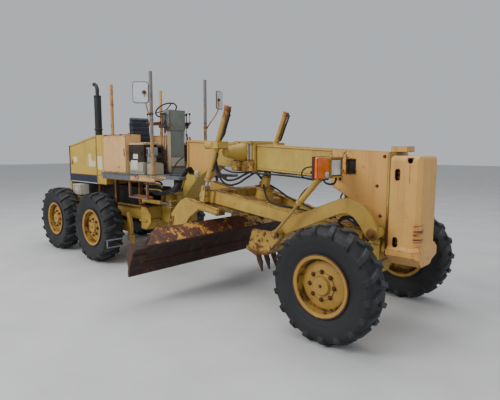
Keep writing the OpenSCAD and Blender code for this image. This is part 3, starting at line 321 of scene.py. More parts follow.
def weight_marks(here):
    """Pockets and holes painted near black inside as painted shade, a rusty run under the crane hole and a
    scraped front corner.
    """
    run = here.noise(1, 6, 0.7, (20, 20, 3)).ramp(0.4, 0.6)
    yield here.patch(0.528, 0.542, 1.7, 1.9) * run * here.beyond(0.239), "96582C"
    corner = here.part("X").ramp(AXLE_X + 0.585, AXLE_X + 0.61) * here.part("Y").ramp(-0.09, -0.15)
    stain = here.noise(1, 6, 0.7, (14, 14, 2)).ramp(0.42, 0.62)
    yield corner * here.height(0.86, 1.24, 0.1) * stain * 0.6, "A5663A"
    scrape = here.noise(1, 4, 0.5, (2.6, 2.6, 58)).ramp(0.49, 0.54)
    yield corner * here.height(1.05, 1.24, 0.015) * scrape, "6B3016"
    # The insides of the pockets and holes are painted near black: painted shade.
    shaded_holes = largest(here.patch(0.365, 0.43, 1.72, 1.86), here.patch(0.365, 0.43, 0.96, 1.09),
                    here.patch(0.5, 0.57, 1.91, 1.98))
    yield shaded_holes * (1 - here.beyond(0.2385)), "17110D"

def blade_top(here):
    """What is left of the yellow on the upper edge of the blade, a painted sheen along its face, and the raw
    ends.
    """
    top, across = here.part("Z").ramp(0.866, 0.876), here.part("Y")
    yield top, here.noise(18, 6).ramp(0.4, 0.6).blend("5C2F1E", "3F2217")
    near = across.ramp(-1.75, -1.35) * across.ramp(-0.55, -0.95)
    far = across.ramp(-0.25, 0.25)
    left = (here.noise(6.5, 9, 0.8) + near * 0.03 + far * 0.085 - 0.56).ramp(0, 0.03)
    yield left * top, far.blend("BE8636", "D3B075")
    # Lighter bands that run along the blade's face are a painted sheen.
    face_sheen = here.noise(1.0, 6, 0.7, (5, 1.2, 9)).ramp(0.55, 0.68)
    yield face_sheen * (1 - top) * 0.5, "6B3F2C"
    yield here.beyond(1.8545) * here.noise(9, 6, 0.7).ramp(0.35, 0.65, 0.8), "5E3B2B"

def scarifier_marks(here):
    """Tines of bare rusty steel, a rusty block and a rusty pivot."""
    place = here.along(-1.7, -1.02, 0.03)
    block = place * here.noise(11, 8, 0.78).ramp(0.52, 0.55)
    foot = place * here.height(0.612, 0.69, 0.02) * here.noise(6, 6, 0.7).ramp(0.35, 0.5)
    pivot = here.beyond(0.4535) * here.along(0.1, 0.32)
    yield largest(block * 0.95, foot * 0.85, pivot * 0.8), "552A13"
    yield here.height(0.0, 0.612, 0.02), "3E2519"

def ring_shade(here):
    """The circle's ring is near black between its outer arms, which keep their yellow: painted shade under
    the machine.
    """
    ring = (1 - here.beyond(0.66)) * here.height(0.0, 1.28)
    yield ring * here.noise(5, 6, 0.7).ramp(0.3, 0.52) * 0.85, "211B16"

def barrel_tops(here):
    """The lift cylinders are rusty orange at their tops and in long patches down the barrel."""
    rusty = here.noise(1.0, 7, 0.75, (9, 9, 3.0)) + here.part("Z").ramp(2.3, 2.66) * 0.16 - 0.57
    yield rusty.ramp(0, 0.05), here.noise(24, 5).blend("A8602A", "62331B")

def saddle_marks(here):
    """The saddle's lock blocks and collars are rusty, and the locks' draw bolts are bare steel."""
    blocks = here.beyond(0.2065) * here.height(1.75, 1.93, 0.01) * (1 - here.beyond(0.252))
    yield blocks * here.noise(9, 8, 0.75).ramp(0.46, 0.54), "74431F"
    collar = here.beyond(0.45) * here.along(-2.245, -2.17)
    yield collar * here.noise(12, 7, 0.7).ramp(0.4, 0.52), "7A4622"
    bolts = largest(*[here.along(x - 0.014, x + 0.014) for x in (-2.144, -2.086, -1.886, -1.824)])
    yield bolts * here.beyond(0.2105) * (1 - here.beyond(0.2335)) * here.height(1.9, 2.168), "B4B3A8"

def lamp_paints(here):
    """The turn lamps have dark red housings."""
    yield here.beyond(0.648), "4A1A10"

# %% The paints, each with its two tones, its rust and its runs
yellow = worn_paint("faded_mustard", "BF9F48", "A28340", 0.5, 0.45)
plates = worn_paint("mustard_and_peach", "BDA24C", "A3863D", 0.42, 0.45, more=front_plates)
cream = worn_paint("peach_repaint", "DAA85F", "C8974F", 0.35, more=weight_marks)
frame_paint = worn_paint("rear_frame_yellow", "B99A47", "9A7C3C", 0.55, more=rear_bands)
axle_paint = worn_paint("rear_axle_yellow", "B39148", "8F7136", 0.55, more=axle_marks)
bar_paint = worn_paint("drawbar_yellow", "BD9B45", "9C7C3B", 0.55, 0.45, tops=0.8)
# The circle's ring takes painted shade between its outer arms.
circle_paint = worn_paint("circle_yellow", "BD9B45", "9C7C3B", 0.6, tops=0.5, more=ring_shade)
box_paint = worn_paint("scratched_peach", "DDB27A", "CC9F68", 0.3, 0.45, more=box_bands)
hood_paint = worn_paint("hood_paint", "CAA94B", "B8963E", 0.3, 0.4, more=hood_bands)
arm_paint = worn_paint("arm_yellow", "B79444", "9A7A34", 0.3, 0.35, more=scarifier_marks)
rod_paint = worn_paint("painted_rod", "A98A4A", "7E6234", 0.6, 0.2)
post_paint = worn_paint("post_paint", "CE9A55", "B07E42", 0.6, 0.3, more=post_top)
barrel_paint = worn_paint("barrel_yellow", "BD994A", "9C7A38", 0.55, 0.4, more=barrel_tops)
saddle_paint = worn_paint("saddle_yellow", "BF9F48", "A28340", 0.5, 0.45, more=saddle_marks)
mirror_arm_paint = worn_paint("mirror_arm_peach", "D09C56", "AE7A3A", 0.45, 0.3)
grey_paint = worn_paint("grey_green_paint", "7C827C", "646963", 0.25, 0.4, more=console_sides)
plain_grey = worn_paint("grey_paint", "62655F", "4A4D49", 0.25, 0.4)
mirror_paint = worn_paint("mirror_paint", "C6CBD0", "B3B9BE", 0.15, 0.3)
dark_paint = worn_paint("dark_paint", "1E2023", "131417", 0.2, 0.15)
brown_paint = worn_paint("brown_box_paint", "33251D", "211812", 0.3, 0.3, more=cabinet_bands)
deck_steel = worn_paint("worn_deck_steel", "5F6872", "474C53", 0.6, 0.25, 0.45, more=deck_bands)
blade_steel = worn_paint("rusted_blade", "3A2620", "20150F", 0.55, 0.3, 0.55, more=blade_top)
iron = worn_paint("oily_iron", "201F1E", "131212", 0.3, 0.1)
lamp_paint = worn_paint("lamp_paint", "C29C45", "A88438", 0.45, 0.3, more=lamp_paints)
brown_rust = worn_paint("brown_rust", "6B4128", "45281A", 0.9, 0.2, 0.6)
box_grey = worn_paint("light_grey_paint", "9DA3A8", "7F858A", 0.3, 0.4)
orange_rust = worn_paint("orange_rust", "A86F2C", "74471C", 0.6, 0.3)
label_white = worn_paint("blank_label", "D8D6CE", "BDB9AE", 0.1, 0.4)
pipe_paint = worn_paint("pipe_paint", "A8905A", "8A7345", 0.5, 0.3)

def wheel_paint(x):
    """Wheel yellow with rust on the rim's lip, and rust with painted shade in the corner of the disc, for a
    wheel at x.
    """
    def rings(here):
        out = here.radius(x)
        # The inner ring, in the corner of the disc, is rust and painted shade together.
        ring = largest(out.ramp(0.322, 0.334), out.ramp(0.246, 0.262) * (1 - out.ramp(0.29, 0.3)) * 0.8)
        worn = (ring * 0.5 + here.noise(7, 8, 0.75) - 0.8).ramp(0, 0.1)
        yield worn, here.noise(30).blend("54311F", "3A2318")
    return worn_paint("wheel_yellow", "AF8A3A", "93702C", 0.4, 0.25, more=rings)

WHEEL_X = {"F": 0.0, "M": -5.001, "R": -6.551}
rim_paints = {row: wheel_paint(x) for row, x in WHEEL_X.items()}
print("paints", len(bpy.data.materials))

# %% [markdown]
# ## Rubber, bright rods, vinyl and lamps
# Tyres are dark grey rather than black, and dust stays on the walls and between the lugs. The
# rods of the cylinders keep a dull shine with a film of oil. The seat's vinyl has a fine grain.

# %% Other finishes
def dusty_rubber(name, x=None):
    """Tyre rubber for a wheel at x, scuffed on its lugs, or plain hose rubber without an x."""
    material, here = new_material(name)
    dust = (here.noise(3, 7, 0.7) + here.noise(26, 5, 0.6) * 0.6).ramp(0.74, 1.05)
    colour = (dust * (0.26 if x == 0 else 0.5)).blend("101216", "484540")
    colour = here.noise(60, 4).ramp(0.55, 0.75, 0.35).blend(colour, "0A0A0B")
    edge, rounded = edge_of(here, 0.01)
    grain = here.noise(90, 5, 0.7)
    if x is not None:
        out = here.radius(x)
        scuffed = out.ramp(0.612, 0.632) * here.noise(9, 7, 0.7).ramp(0.35, 0.62)
        colour = (scuffed * 0.7).blend(colour, "3F434C")
        rings = out.maths("SINE", out * 320).ramp(0.86, 1.0) * (1 - out.ramp(0.5, 0.52))
        grain = grain + rings * 1.2
    plug(material, Base_Color=(edge * 0.2).blend(colour, "565A62"), Roughness=0.6 + dust * 0.25,
         Normal=grain.bump(0.3, 0.003, Normal=rounded))
    return material

def bright(name, light, deep, film, rough, metal):
    """Bare or silvered metal under a film that dulls it in places."""
    material, here = new_material(name)
    plug(material, Base_Color=film(here).blend(light, deep), Roughness=rough(here), Metallic=metal)
    return material

def vinyl(name):
    material, here = new_material(name)
    grain = here.node("TexVoronoi", {}, {"Vector": here, "Scale": 420.0})
    folds = here.noise(14, 5)
    plug(material, Base_Color=folds.ramp(0.35, 0.7).blend("151A24", "262D3D"),
         Roughness=0.42 + folds * 0.2, Normal=(grain + folds * 2).bump(0.3, 0.0012))
    return material

def lens(name, light, deep):
    material, here = new_material(name)
    flutes = here.node("TexWave", {"bands_direction": "Y"}, {"Vector": here, "Scale": 24.0})
    plug(material, Base_Color=here.noise(8).ramp(0.3, 0.7).blend(light, deep),
         Normal=flutes.bump(0.5, 0.003), Roughness=0.14, Coat_Weight=0.6)
    return material

tyre_rubbers = {row: dusty_rubber("tyre_rubber", x) for row, x in WHEEL_X.items()}
hose_rubber = dusty_rubber("hose_rubber")
rod_steel = bright("oiled_rod", "B9B6AE", "6B5A42", lambda here: here.noise(9, 6, 0.6).ramp(0.4, 0.7),
                   lambda here: 0.22 + here.noise(9, 6, 0.6) * 0.3, 0.85)
silver = bright("mirror_glass", "D3D7DB", "B9BEC3", lambda here: here.noise(3).ramp(0.3, 0.7),
                lambda here: here.noise(12, 5).ramp(0.5, 0.8, 0.25) + 0.05, 1.0)
seat_vinyl = vinyl("black_vinyl")
amber = lens("amber_lens", "E8761A", "B9520E")
# The clear head lens is painted near white: a painted reflection.
clear = lens("clear_lens_painted_reflection", "F3F5F6", "9AA1A6")
red = lens("red_lens", "A81812", "6A0E0A")

# %% Dress the solids
node_paint = {
    "rear_frame": frame_paint, "rear_axle": axle_paint, "engine": iron, "hood": hood_paint,
    "engine_door_R": hood_paint, "engine_door_L": hood_paint, "stack": dark_paint,
    "side_boxes": box_paint, "deck": deck_steel, "cabinet": brown_paint, "seat_base": plain_grey,
    "seat": seat_vinyl, "console": grey_paint, "steering_wheel": dark_paint, "posts": post_paint,
    "mirrors": mirror_paint, "front_frame": plates, "saddle": saddle_paint,
    "lift_barrels": barrel_paint, "lift_rods": rod_steel, "drawbar": bar_paint,
    "circle_ring": circle_paint, "moldboard": blade_steel, "scarifier": arm_paint,
    "scarifier_barrels": arm_paint, "scarifier_rods": rod_paint, "tie_rod": iron,
    "counterweight": cream, "lamps": lamp_paint, "artic_rod_R": rod_steel, "artic_rod_L": rod_steel}
for row in WHEEL_X:
    for side, hand in SIDES:
        node_paint["tyre_" + row + hand] = tyre_rubbers[row]
        node_paint["rim_" + row + hand] = rim_paints[row]

for node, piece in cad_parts.items():
    piece.data.materials.clear()
    piece.data.materials.append(node_paint.get(node, yellow))
print("dressed", len(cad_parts), "nodes")

# %% [markdown]
# ## Making a piece
# Every new piece goes the same way: parts are laid into a bmesh, which is written to a mesh at the
# world's origin, given its material, and told which body of the machine it rides on. Smooth shading
# with sharp edges kept by angle saves faces. The machine is the same on both sides, so a part is
# written once, for the left side, and laid again with its Y turned round.

# %% Shapes in a bmesh
def at(x, y, z):
    """A place given from the front axle line, as the machine was measured."""
    return Vector((AXLE_X + x, y, z))

def block(bm, low, high, round_by, segments=2):
    """A box from two corners, its edges rounded."""
    made = bmesh.ops.create_cube(bm, size=1)["verts"]
    low, high = Vector(low), Vector(high)
    bmesh.ops.scale(bm, verts=made, vec=high - low)
    bmesh.ops.translate(bm, verts=made, vec=(low + high) / 2)
    edges = {e for v in made for e in v.link_edges}
    bmesh.ops.bevel(bm, geom=list(edges), offset=round_by, segments=segments,
                    affect="EDGES", profile=0.5, material=-1)

def rod_between(bm, a, b, r, sides=12, r2=None):
    turn = (b - a).to_track_quat("Z", "Y").to_matrix().to_4x4()
    bmesh.ops.create_cone(bm, cap_ends=True, segments=sides, radius1=r, radius2=r if r2 is None else r2,
                          depth=(b - a).length, matrix=Matrix.Translation((a + b) / 2) @ turn)

def hex_bolt(bm, place, way, r, h):
    """A hexagon head with a washer under it, standing on place and pointing along way."""
    rod_between(bm, place - way * 0.001, place + way * h * 0.25, r * 1.35, 16)
    rod_between(bm, place + way * h * 0.2, place + way * h, r, 6, r * 0.94)

# %% Parts that are laid on a side
def box(x, y, z, round_by=0.004, segments=2):
    def lay(bm, side):
        y0, y1 = sorted((side * y[0], side * y[1]))
        block(bm, at(x[0], y0, z[0]), at(x[1], y1, z[1]), round_by, segments)
    return lay

def rod(a, b, r, sides=12, r2=None):
    return lambda bm, side: rod_between(bm, *[at(x, side * y, z) for x, y, z in (a, b)], r, sides, r2)

def bolt(place, way, r, h):
    x, y, z = place
    return lambda bm, side: hex_bolt(bm, at(x, side * y, z), Vector((way[0], side * way[1], way[2])), r, h)

def ball(centre, r):
    def lay(bm, side):
        made = bmesh.ops.create_uvsphere(bm, u_segments=16, v_segments=10, radius=r)["verts"]
        bmesh.ops.translate(bm, verts=made, vec=at(*centre))
    return lay

# %% Pieces
def add_piece(name, mesh, material, body, slot, keep_sharp=40):
    mesh.polygons.foreach_set("use_smooth", [True] * len(mesh.polygons))
    mesh.set_sharp_from_angle(angle=math.radians(keep_sharp))
    piece = new_object(name, mesh)
    mesh.materials.clear()
    mesh.materials.append(material)
    if body:
        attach(piece, body)
    return piece

def as_mesh(name, bm, turn_out=True):
    """The bmesh as a mesh, its faces turned outward."""
    if turn_out:
        bmesh.ops.recalc_face_normals(bm, faces=bm.faces)
    mesh = bpy.data.meshes.new(name)
    bm.to_mesh(mesh)
    bm.free()
    return mesh

def make(name, material, body, slot, *parts, sides=(1,)):
    """A piece from parts that are laid on each of the sides: 1 is the left, -1 the right."""
    bm = bmesh.new()
    for side in sides:
        for part in parts:
            part(bm, side)
    return add_piece(name, as_mesh(name, bm), material, body, slot)

def make_pair(name, material, body, *rest):
    """One piece on the right and one on the left. {} in the body's name stands for the hand."""
    for side, hand in SIDES:
        make(name + "_" + hand, material, body.format(hand), *rest, sides=(side,))

def tube(name, points, radius, material, body, slot, steps=6):
    """A hose or rod along a smooth line through the points, as a mesh."""
    curve = bpy.data.curves.new(name, "CURVE")
    curve.dimensions, curve.bevel_depth, curve.bevel_resolution = "3D", radius, 3
    curve.resolution_u, curve.use_fill_caps = steps, True
    spline = curve.splines.new("BEZIER")
    spline.bezier_points.add(len(points) - 1)
    for knot, point in zip(spline.bezier_points, points):
        knot.co = point
        knot.handle_left_type = knot.handle_right_type = "AUTO"
    maker = new_object(name + "_line", curve)
    mesh = finished(maker)
    bpy.data.objects.remove(maker)
    bpy.data.curves.remove(curve)
    return add_piece(name, mesh, material, body, slot, keep_sharp=60)

def finished(piece):
    """The mesh that a piece has after its modifiers or its curve's thickness."""
    bpy.context.view_layer.update()
    return bpy.data.meshes.new_from_object(piece.evaluated_get(bpy.context.evaluated_depsgraph_get()))

BOTH, OUT, UP, AHEAD, BACK = (-1, 1), (0, 1, 0), (0, 0, 1), (1, 0, 0), (-1, 0, 0)

# %% [markdown]
# ## Tyres with real lugs
# A traction tyre is a round carcass with slanted bars that start near the middle of the tread and
# run over the shoulder. The carcass is a profile spun round the axle. Each bar is a box whose points
# are laid on the same profile, so it bends over the shoulder as the real one does, and its top is
# narrower than its foot. One wheel is built about the origin and moved to its six places.

# %% The tyre
LUG_COUNT = 18                      # bars on each half of the tread
TREAD = [(0.0, 0.609), (0.09, 0.607), (0.135, 0.6), (0.162, 0.582), (0.1735, 0.555), (0.1725, 0.53)]
WALL = [(0.1715, 0.505), (0.166, 0.47), (0.158, 0.44), (0.152, 0.425), (0.152, 0.418), (0.146, 0.4),
        (0.136, 0.372), (0.131, 0.352), (0.128, 0.318)]

def along_tread(u):
    """The point of the tread's profile at the distance u from the middle, and the way out from it."""
    for (y0, r0), (y1, r1) in zip(TREAD, TREAD[1:]):
        step = math.hypot(y1 - y0, r1 - r0)
        if u <= step or (y1, r1) == TREAD[-1]:
            t = min(u / step, 1.0)
            return y0 + (y1 - y0) * t, r0 + (r1 - r0) * t, (-(r1 - r0) / step, (y1 - y0) / step)
        u -= step

def lug_mesh():
    """One bar as a mesh of its own: a box cut into ten along its length and laid on the profile."""
    reach, width, height, start, slant, round_r = 0.232, 0.07, 0.031, 0.012, 0.44, 0.62
    bm = bmesh.new()
    bmesh.ops.create_cube(bm, size=1)
    lengthwise = [e for e in bm.edges if abs(e.verts[0].co.y - e.verts[1].co.y) > 0.5]
    bmesh.ops.subdivide_edges(bm, edges=lengthwise, cuts=9, use_grid_fill=True)
    for v in bm.verts:
        u = (v.co.y + 0.5) * reach - start
        top = v.co.z > 0
        y, r, out = along_tread(max(u, 0))
        fade = 1 - max(0, (u - 0.17) / (reach - 0.182)) ** 2
        lift = height * fade if top else -0.008
        around = (v.co.x * width * (0.78 if top else 1.0) + (u - 0.08) * slant) / round_r
        r += out[1] * lift
        y += out[0] * lift + min(u, 0)
        v.co = (r * math.sin(around), y, r * math.cos(around))
    corners = [e for e in bm.edges if e.is_manifold and e.calc_face_angle(0) > 0.6]
    bmesh.ops.bevel(bm, geom=corners, offset=0.004, segments=1, affect="EDGES", profile=0.5, material=-1)
    return as_mesh("lug", bm, False)

def tyre():
    bm = bmesh.new()
    half = TREAD + WALL
    ring = [bm.verts.new((0, y, r)) for y, r in [(-y, r) for y, r in reversed(half[1:])] + half]
    edges = [bm.edges.new(pair) for pair in zip(ring, ring[1:])]
    bmesh.ops.spin(bm, geom=ring + edges, cent=(0, 0, 0), axis=(0, 1, 0), angle=2 * math.pi, steps=96,
                   use_merge=True)
    bar = lug_mesh()
    for i in range(2 * LUG_COUNT):
        copy = bar.copy()
        mirrored = Matrix.Diagonal((1, (-1) ** i, 1, 1))
        copy.transform(Matrix.Rotation(i * math.pi / LUG_COUNT, 4, "Y") @ mirrored)
        bm.from_mesh(copy)
        bpy.data.meshes.remove(copy)
    bpy.data.meshes.remove(bar)
    return as_mesh("tyre", bm)

WHEEL_OUT = {"F": 1.01, "M": 0.97, "R": 0.97}
wheels = [(row, side, hand) for row in WHEEL_X for side, hand in SIDES]
pattern = tyre()
for number, (row, side, hand) in enumerate(wheels):
    mesh = pattern.copy()
    centre = at(WHEEL_X[row], side * WHEEL_OUT[row], TYRE_R)
    mesh.transform(Matrix.Translation(centre) @ Matrix.Rotation(0.13 * number, 4, "Y"))
    tread = add_piece("tread_" + row + hand, mesh, tyre_rubbers[row], "wheel_" + row + hand, "tyre_rubber")
    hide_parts("tyre_" + row + hand)
print("a tyre has", len(pattern.polygons), "faces")

# %% [markdown]
# ## Wheel nuts
# The nuts have lost their paint and rusted on their studs. They sit on the eight lugs of the disc,
# and a small plug closes the middle of the hub's cap.

# %% Nuts and hub bolts
rusty_nut = worn_paint("rusty_nut", "7B4A2E", "4A2C1C", 1.0, gloss=0.6)
NUT_CIRCLE = 0.15
for row, side, hand in wheels:
    x, y = WHEEL_X[row], WHEEL_OUT[row]
    feet = [(x + NUT_CIRCLE * math.cos(a), y + 0.0995, TYRE_R + NUT_CIRCLE * math.sin(a))
            for a in [i * math.pi / 4 for i in range(8)]]
    make("wheel_nuts_" + row + hand, rusty_nut, "wheel_" + row + hand, "worn_steel",
         *[bolt(foot, OUT, 0.019, 0.019) for foot in feet],
         *[rod((fx, fy, fz), (fx, fy + 0.03, fz), 0.01) for fx, fy, fz in feet],
         bolt((x, y + 0.128, TYRE_R), OUT, 0.014, 0.008),
         rod((x + 0.21, y + 0.06, TYRE_R + 0.19), (x + 0.2, y + 0.115, TYRE_R + 0.18), 0.006, 8),
         sides=(side,))
print("wheel nuts on", len(wheels), "wheels")

# %% [markdown]
# ## The seat
# A moulded seat in black vinyl: a cushion and a back that swell between their seams, with pressed
# channels across the back. Cloth simulation with pressure gives the swell: the shape is remeshed
# finely, blown up a little, and its movement capped so that it stays inside the seat's own space.
# The channels come last, because remeshing would wipe them out.

# %% Padded seat
PUFF = 0.01                        # how far a point of a pad may move

def swell(mesh):
    """Blows a closed mesh up with cloth pressure and caps how far each point moves."""
    pad = new_object("pad_maker", mesh)
    remesh = pad.modifiers.new("fine", "REMESH")
    remesh.mode, remesh.voxel_size = "VOXEL", 0.009
    fine = finished(pad)
    pad.modifiers.clear()
    pad.data = fine
    rest = [v.co.copy() for v in fine.vertices]
    cloth = pad.modifiers.new("swell", "CLOTH")
    cloth.settings.use_pressure, cloth.settings.uniform_pressure_force = True, 4
    cloth.settings.effector_weights.gravity = 0
    cloth.settings.quality = 4
    cloth.point_cache.frame_end = 20
    for frame_number in range(1, 15):
        bpy.context.scene.frame_set(frame_number)
    blown = bpy.data.meshes.new_from_object(pad.evaluated_get(bpy.context.evaluated_depsgraph_get()))
    for v, start, moved in zip(fine.vertices, rest, blown.vertices):
        step = moved.co - start
        v.co = start + step * min(1, PUFF / max(step.length, 1e-9))
    pad.modifiers.clear()
    bpy.context.scene.frame_set(1)
    bpy.data.objects.remove(pad)
    return fine

def cushion(low, high, lean=0.0):
    bm = bmesh.new()
    block(bm, low, high, 0.05, 4)
    foot = Vector(((low[0] + high[0]) / 2, 0, low[2]))
    bmesh.ops.rotate(bm, verts=bm.verts, cent=foot, matrix=Matrix.Rotation(lean, 3, "Y"))
    return swell(as_mesh("cushion", bm, False))

def press_channels(mesh, axis, places, width, facing):
    """Sewn or pressed lines: points near each place move in against the way they face."""
    depth = 0.007
    mesh.update()
    for v in mesh.vertices:
        if v.normal.dot(facing) < 0.35:
            continue
        for place in places:
            near = (v.co[axis] - place) / width
            v.co -= v.normal * depth * math.exp(-near * near)

(rear, _, base), (front, _, top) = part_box("seat")
BACK_LEAN = math.radians(-5)
seat = cushion((rear + 0.075, -0.232, base + 0.012), (front - 0.014, 0.232, base + 0.118))
press_channels(seat, 0, [front - 0.09 - 0.09 * i for i in range(4)], 0.009, Vector(UP))
back = cushion((rear + 0.052, -0.228, base + 0.1), (rear + 0.132, 0.228, top - 0.012), BACK_LEAN)
press_channels(back, 2, [top - 0.1 - 0.095 * i for i in range(5)], 0.01, Vector(AHEAD))
for name, mesh in (("seat_cushion", seat), ("seat_back", back)):
    pad = add_piece(name, mesh, seat_vinyl, "rear", "seat_vinyl", keep_sharp=180)
    finer = pad.modifiers.new("finer", "SUBSURF")
    finer.levels = finer.render_levels = 1
    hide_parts("seat")
print("seat from", round(rear, 2), "to", round(front, 2), "high", round(top - base, 2))

# %% Seat pan and frame
bm = bmesh.new()
block(bm, (rear + 0.03, -0.238, base + 0.002), (front - 0.03, 0.238, base + 0.022), 0.008)
for side in BOTH:
    rod_between(bm, Vector((rear + 0.07, side * 0.225, base + 0.01)),
                Vector((rear + 0.045, side * 0.225, base + 0.3)), 0.01)
block(bm, (rear + 0.025, -0.2, base + 0.13), (rear + 0.045, 0.2, base + 0.55), 0.008)
bmesh.ops.rotate(bm, verts=[v for v in bm.verts if v.co.z > base + 0.12 and abs(v.co.y) < 0.21],
                 cent=(rear + 0.035, 0, base + 0.13), matrix=Matrix.Rotation(BACK_LEAN, 3, "Y"))
add_piece("seat_pan", as_mesh("seat_pan", bm), dark_paint, "rear", "dark_paint")

# %% [markdown]
# ## Lamps and mirrors
# The front lamps are boxes with moulded lenses. A lens looks right when it is a separate shiny
# piece standing a little proud of its frame. The mirrors get a rubber rim and glass on the side
# that faces the driver.

# %% Lamps
make_pair("turn_lens", amber, "front", "lamp_lens",
          box((-0.268, -0.219), (0.663, 0.897), (1.743, 1.982), 0.012, 3))
make_pair("head_lens", clear, "front", "lamp_lens",
          box((-0.23, -0.2165), (0.668, 0.742), (1.75, 1.815), 0.005),
          box((-0.25, -0.224), (0.4, 0.612), (1.766, 1.959), 0.01, 3))
make_pair("lamp_trim", dark_paint, "front", "dark_paint",
          *[box((-0.236, -0.219), (0.398, 0.614), (z, z + 0.01), 0.003) for z in (1.764, 1.951)],
          *[box((-0.236, -0.219), (y, y + 0.01), (1.764, 1.961), 0.003) for y in (0.398, 0.604)],
          *[bolt((-0.214, y, z), AHEAD, 0.006, 0.005) for z in (1.752, 1.973) for y in (0.385, 0.627)])
for name, paint, slot, end, r in (("tail_lens", red, "lamp_lens", -7.155, 0.045),
                                  ("tail_ring", dark_paint, "dark_paint", -7.148, 0.053)):
    make_pair(name, paint, "rear", slot, rod((-7.11, 0.42, 1.2), (end, 0.42, 1.2), r, 24))

# %% Mirrors
def plate(half_w, half_h, corner, low, high, place):
    """A plate with round corners in its own X and Y, from low to high in its Z, moved by place."""
    outline = [(sx * (half_w - corner) + corner * math.cos(a), sy * (half_h - corner) + corner * math.sin(a))
               for k, (sx, sy) in enumerate(((1, 1), (-1, 1), (-1, -1), (1, -1)))
               for a in [math.radians(90 * k + 15 * step) for step in range(7)]]
    def lay(bm, side):
        lower, upper = [[bm.verts.new(place @ Vector((x, y, z))) for x, y in outline] for z in (low, high)]
        bm.faces.new(lower)
        bm.faces.new(upper)
        for i in range(-1, len(outline) - 1):
            bm.faces.new((lower[i], lower[i + 1], upper[i + 1], upper[i]))
    return lay

STAND = Matrix(((0, 0, 1, 0), (1, 0, 0, 0), (0, 1, 0, 0), (0, 0, 0, 1)))
mirrors = ((-1, "R", (-3.6, -0.93, 2.97), -47, 2.655, 0.012, 0.05),
           (1, "L", (-3.64, 0.885, 3.0), 19, 2.48, 0.085, 0.11))
for side, hand, centre, turn, clamp, bow, drop in mirrors:
    place = Matrix.Translation(at(*centre)) @ Matrix.Rotation(math.radians(turn), 4, "Z") @ STAND
    place = place @ Matrix.Translation((-side * 0.03, 0, 0))
    knob, foot = (place @ Vector((-side * 0.055, 0, z)) for z in (0.012, 0.004))
    rim = make("mirror_rim_" + hand, dark_paint, "rear", "black_plastic",
               plate(0.13, 0.17, 0.05, -0.007, 0.004, place))
    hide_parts("mirrors")
    make("mirror_back_" + hand, mirror_paint, "rear", "grey_paint",
         plate(0.122, 0.162, 0.044, 0.002, 0.008, place))
    make("mirror_glass_" + hand, silver, "rear", "rod_steel",
         plate(0.122, 0.162, 0.044, -0.01, -0.005, place))
    make("mirror_clamp_" + hand, brown_rust, "rear", "worn_steel",
         lambda bm, side: hex_bolt(bm, knob, place.to_3x3() @ Vector(UP), 0.024, 0.026),
         lambda bm, side: rod_between(bm, foot, knob, 0.034, 16),
         *[rod((-3.75, 0.6, z), (-3.75, 0.6, z + 0.01), 0.0385, 24)
           for z in (clamp - 0.012, clamp + 0.012)],
         box((-3.762, -3.738), (0.632, 0.658), (clamp - 0.014, clamp + 0.024), 0.003), sides=(side,))
    low = at(-3.75, side * 0.65, clamp + 0.005)
    mid = knob.lerp(at(-3.75, side * 0.65, clamp), 0.45) + Vector((0, side * bow, 0))
    start = low.lerp(mid, 0.25) + Vector((0, side * 0.01, 0.015))
    tube("mirror_arm_" + hand, [low, start, mid, knob - Vector((0, 0, drop)), knob], 0.012,
         mirror_arm_paint, "rear", "cream_paint")
print("lamps and mirrors done")

# %% [markdown]
# ## Hoses and pipes
# Oil goes from the pump under the seat to the cylinders ahead, so a bundle of hoses has to cross
# the hitch where the machine bends. All other hoses stay on one body and simply ride on it.

# %% Hoses over the hitch
def hose(name, points, radius, body, material=None, slot="black_plastic", steps=6):
    return tube(name, [at(*p) for p in points], radius, material or hose_rubber, body, slot, steps)

HITCH_REAR, HITCH_FRONT = at(-3.6, -0.55, 1.35), at(-3.05, -0.45, 1.6)
bundle = [(-3.778, -0.55, 1.366), (-3.66, -0.56, 1.335), (-3.485, -0.55, 1.35), (-3.3, -0.56, 1.385),
          (-3.157, -0.55, 1.436), (-3.126, -0.5, 1.575), (-3.135, -0.45, 1.666), (-3.105, -0.36, 1.752),
          (-3.164, -0.22, 1.67)]
strands = [(0, 0, 0.016), (0.034, 0.012, 0.014), (-0.03, 0.016, 0.014), (0.01, 0.04, 0.013),
           (-0.012, -0.034, 0.013), (0.045, -0.022, 0.012), (-0.042, -0.014, 0.012)]
RISE = 4                            # from this point on the bundle climbs, and a strand's height fades
crossing = []
for number, (dy, dz, r) in enumerate(strands):
    sway = [0.012 * math.sin(1.7 * number + 1.1 * k) for k in range(len(bundle))]
    line = [(x + 0.4 * dz * (k >= RISE), y + dy + w, z + (dz if k <= RISE else dz * 0.5) + w)
            for k, ((x, y, z), w) in enumerate(zip(bundle, sway))]
    crossing.append(hose("hitch_hose_%d" % (number + 1), line, r, None, steps=10))
crossing.append(hose("hose_wrap", [(-3.2, -0.555, 1.425), (-3.15, -0.55, 1.47), (-3.127, -0.5, 1.58),
                                   (-3.132, -0.45, 1.665), (-3.11, -0.4, 1.72)], 0.056, None))
for piece in crossing:
    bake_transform(piece)
    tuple(HITCH_REAR)
    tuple(HITCH_FRONT)
print("crossing the hitch", len(crossing))

# %% Hoses in pairs
RUSTY_PIPE = (brown_rust, "worn_steel")
TRUNNION = (-2.08, 0.65, 2.13)   # where a lift cylinder turns
LEAN_X, LEAN_Z = 0.383, 0.924       # and the way down along its barrel, as parts of 1

def hose_pair(name, points, radius, body, *finish, **more):
    """The same hose on the right and on the left."""
    for side, hand in SIDES:
        hose(name % hand, [(x, side * y, z) for x, y, z in points], radius, body, *finish, **more)

def barrel_pair(name, points, radius, *finish):
    """Hoses on the lift cylinders. A point counts along the barrel below its trunnion, ahead of its
    axis and outward of it."""
    x, y, z = TRUNNION
    hose_pair(name, [(x - LEAN_X * along + LEAN_Z * off, y + out, z - LEAN_Z * along - LEAN_X * off)
                     for along, off, out in points], radius, "lift_barrels", *finish)

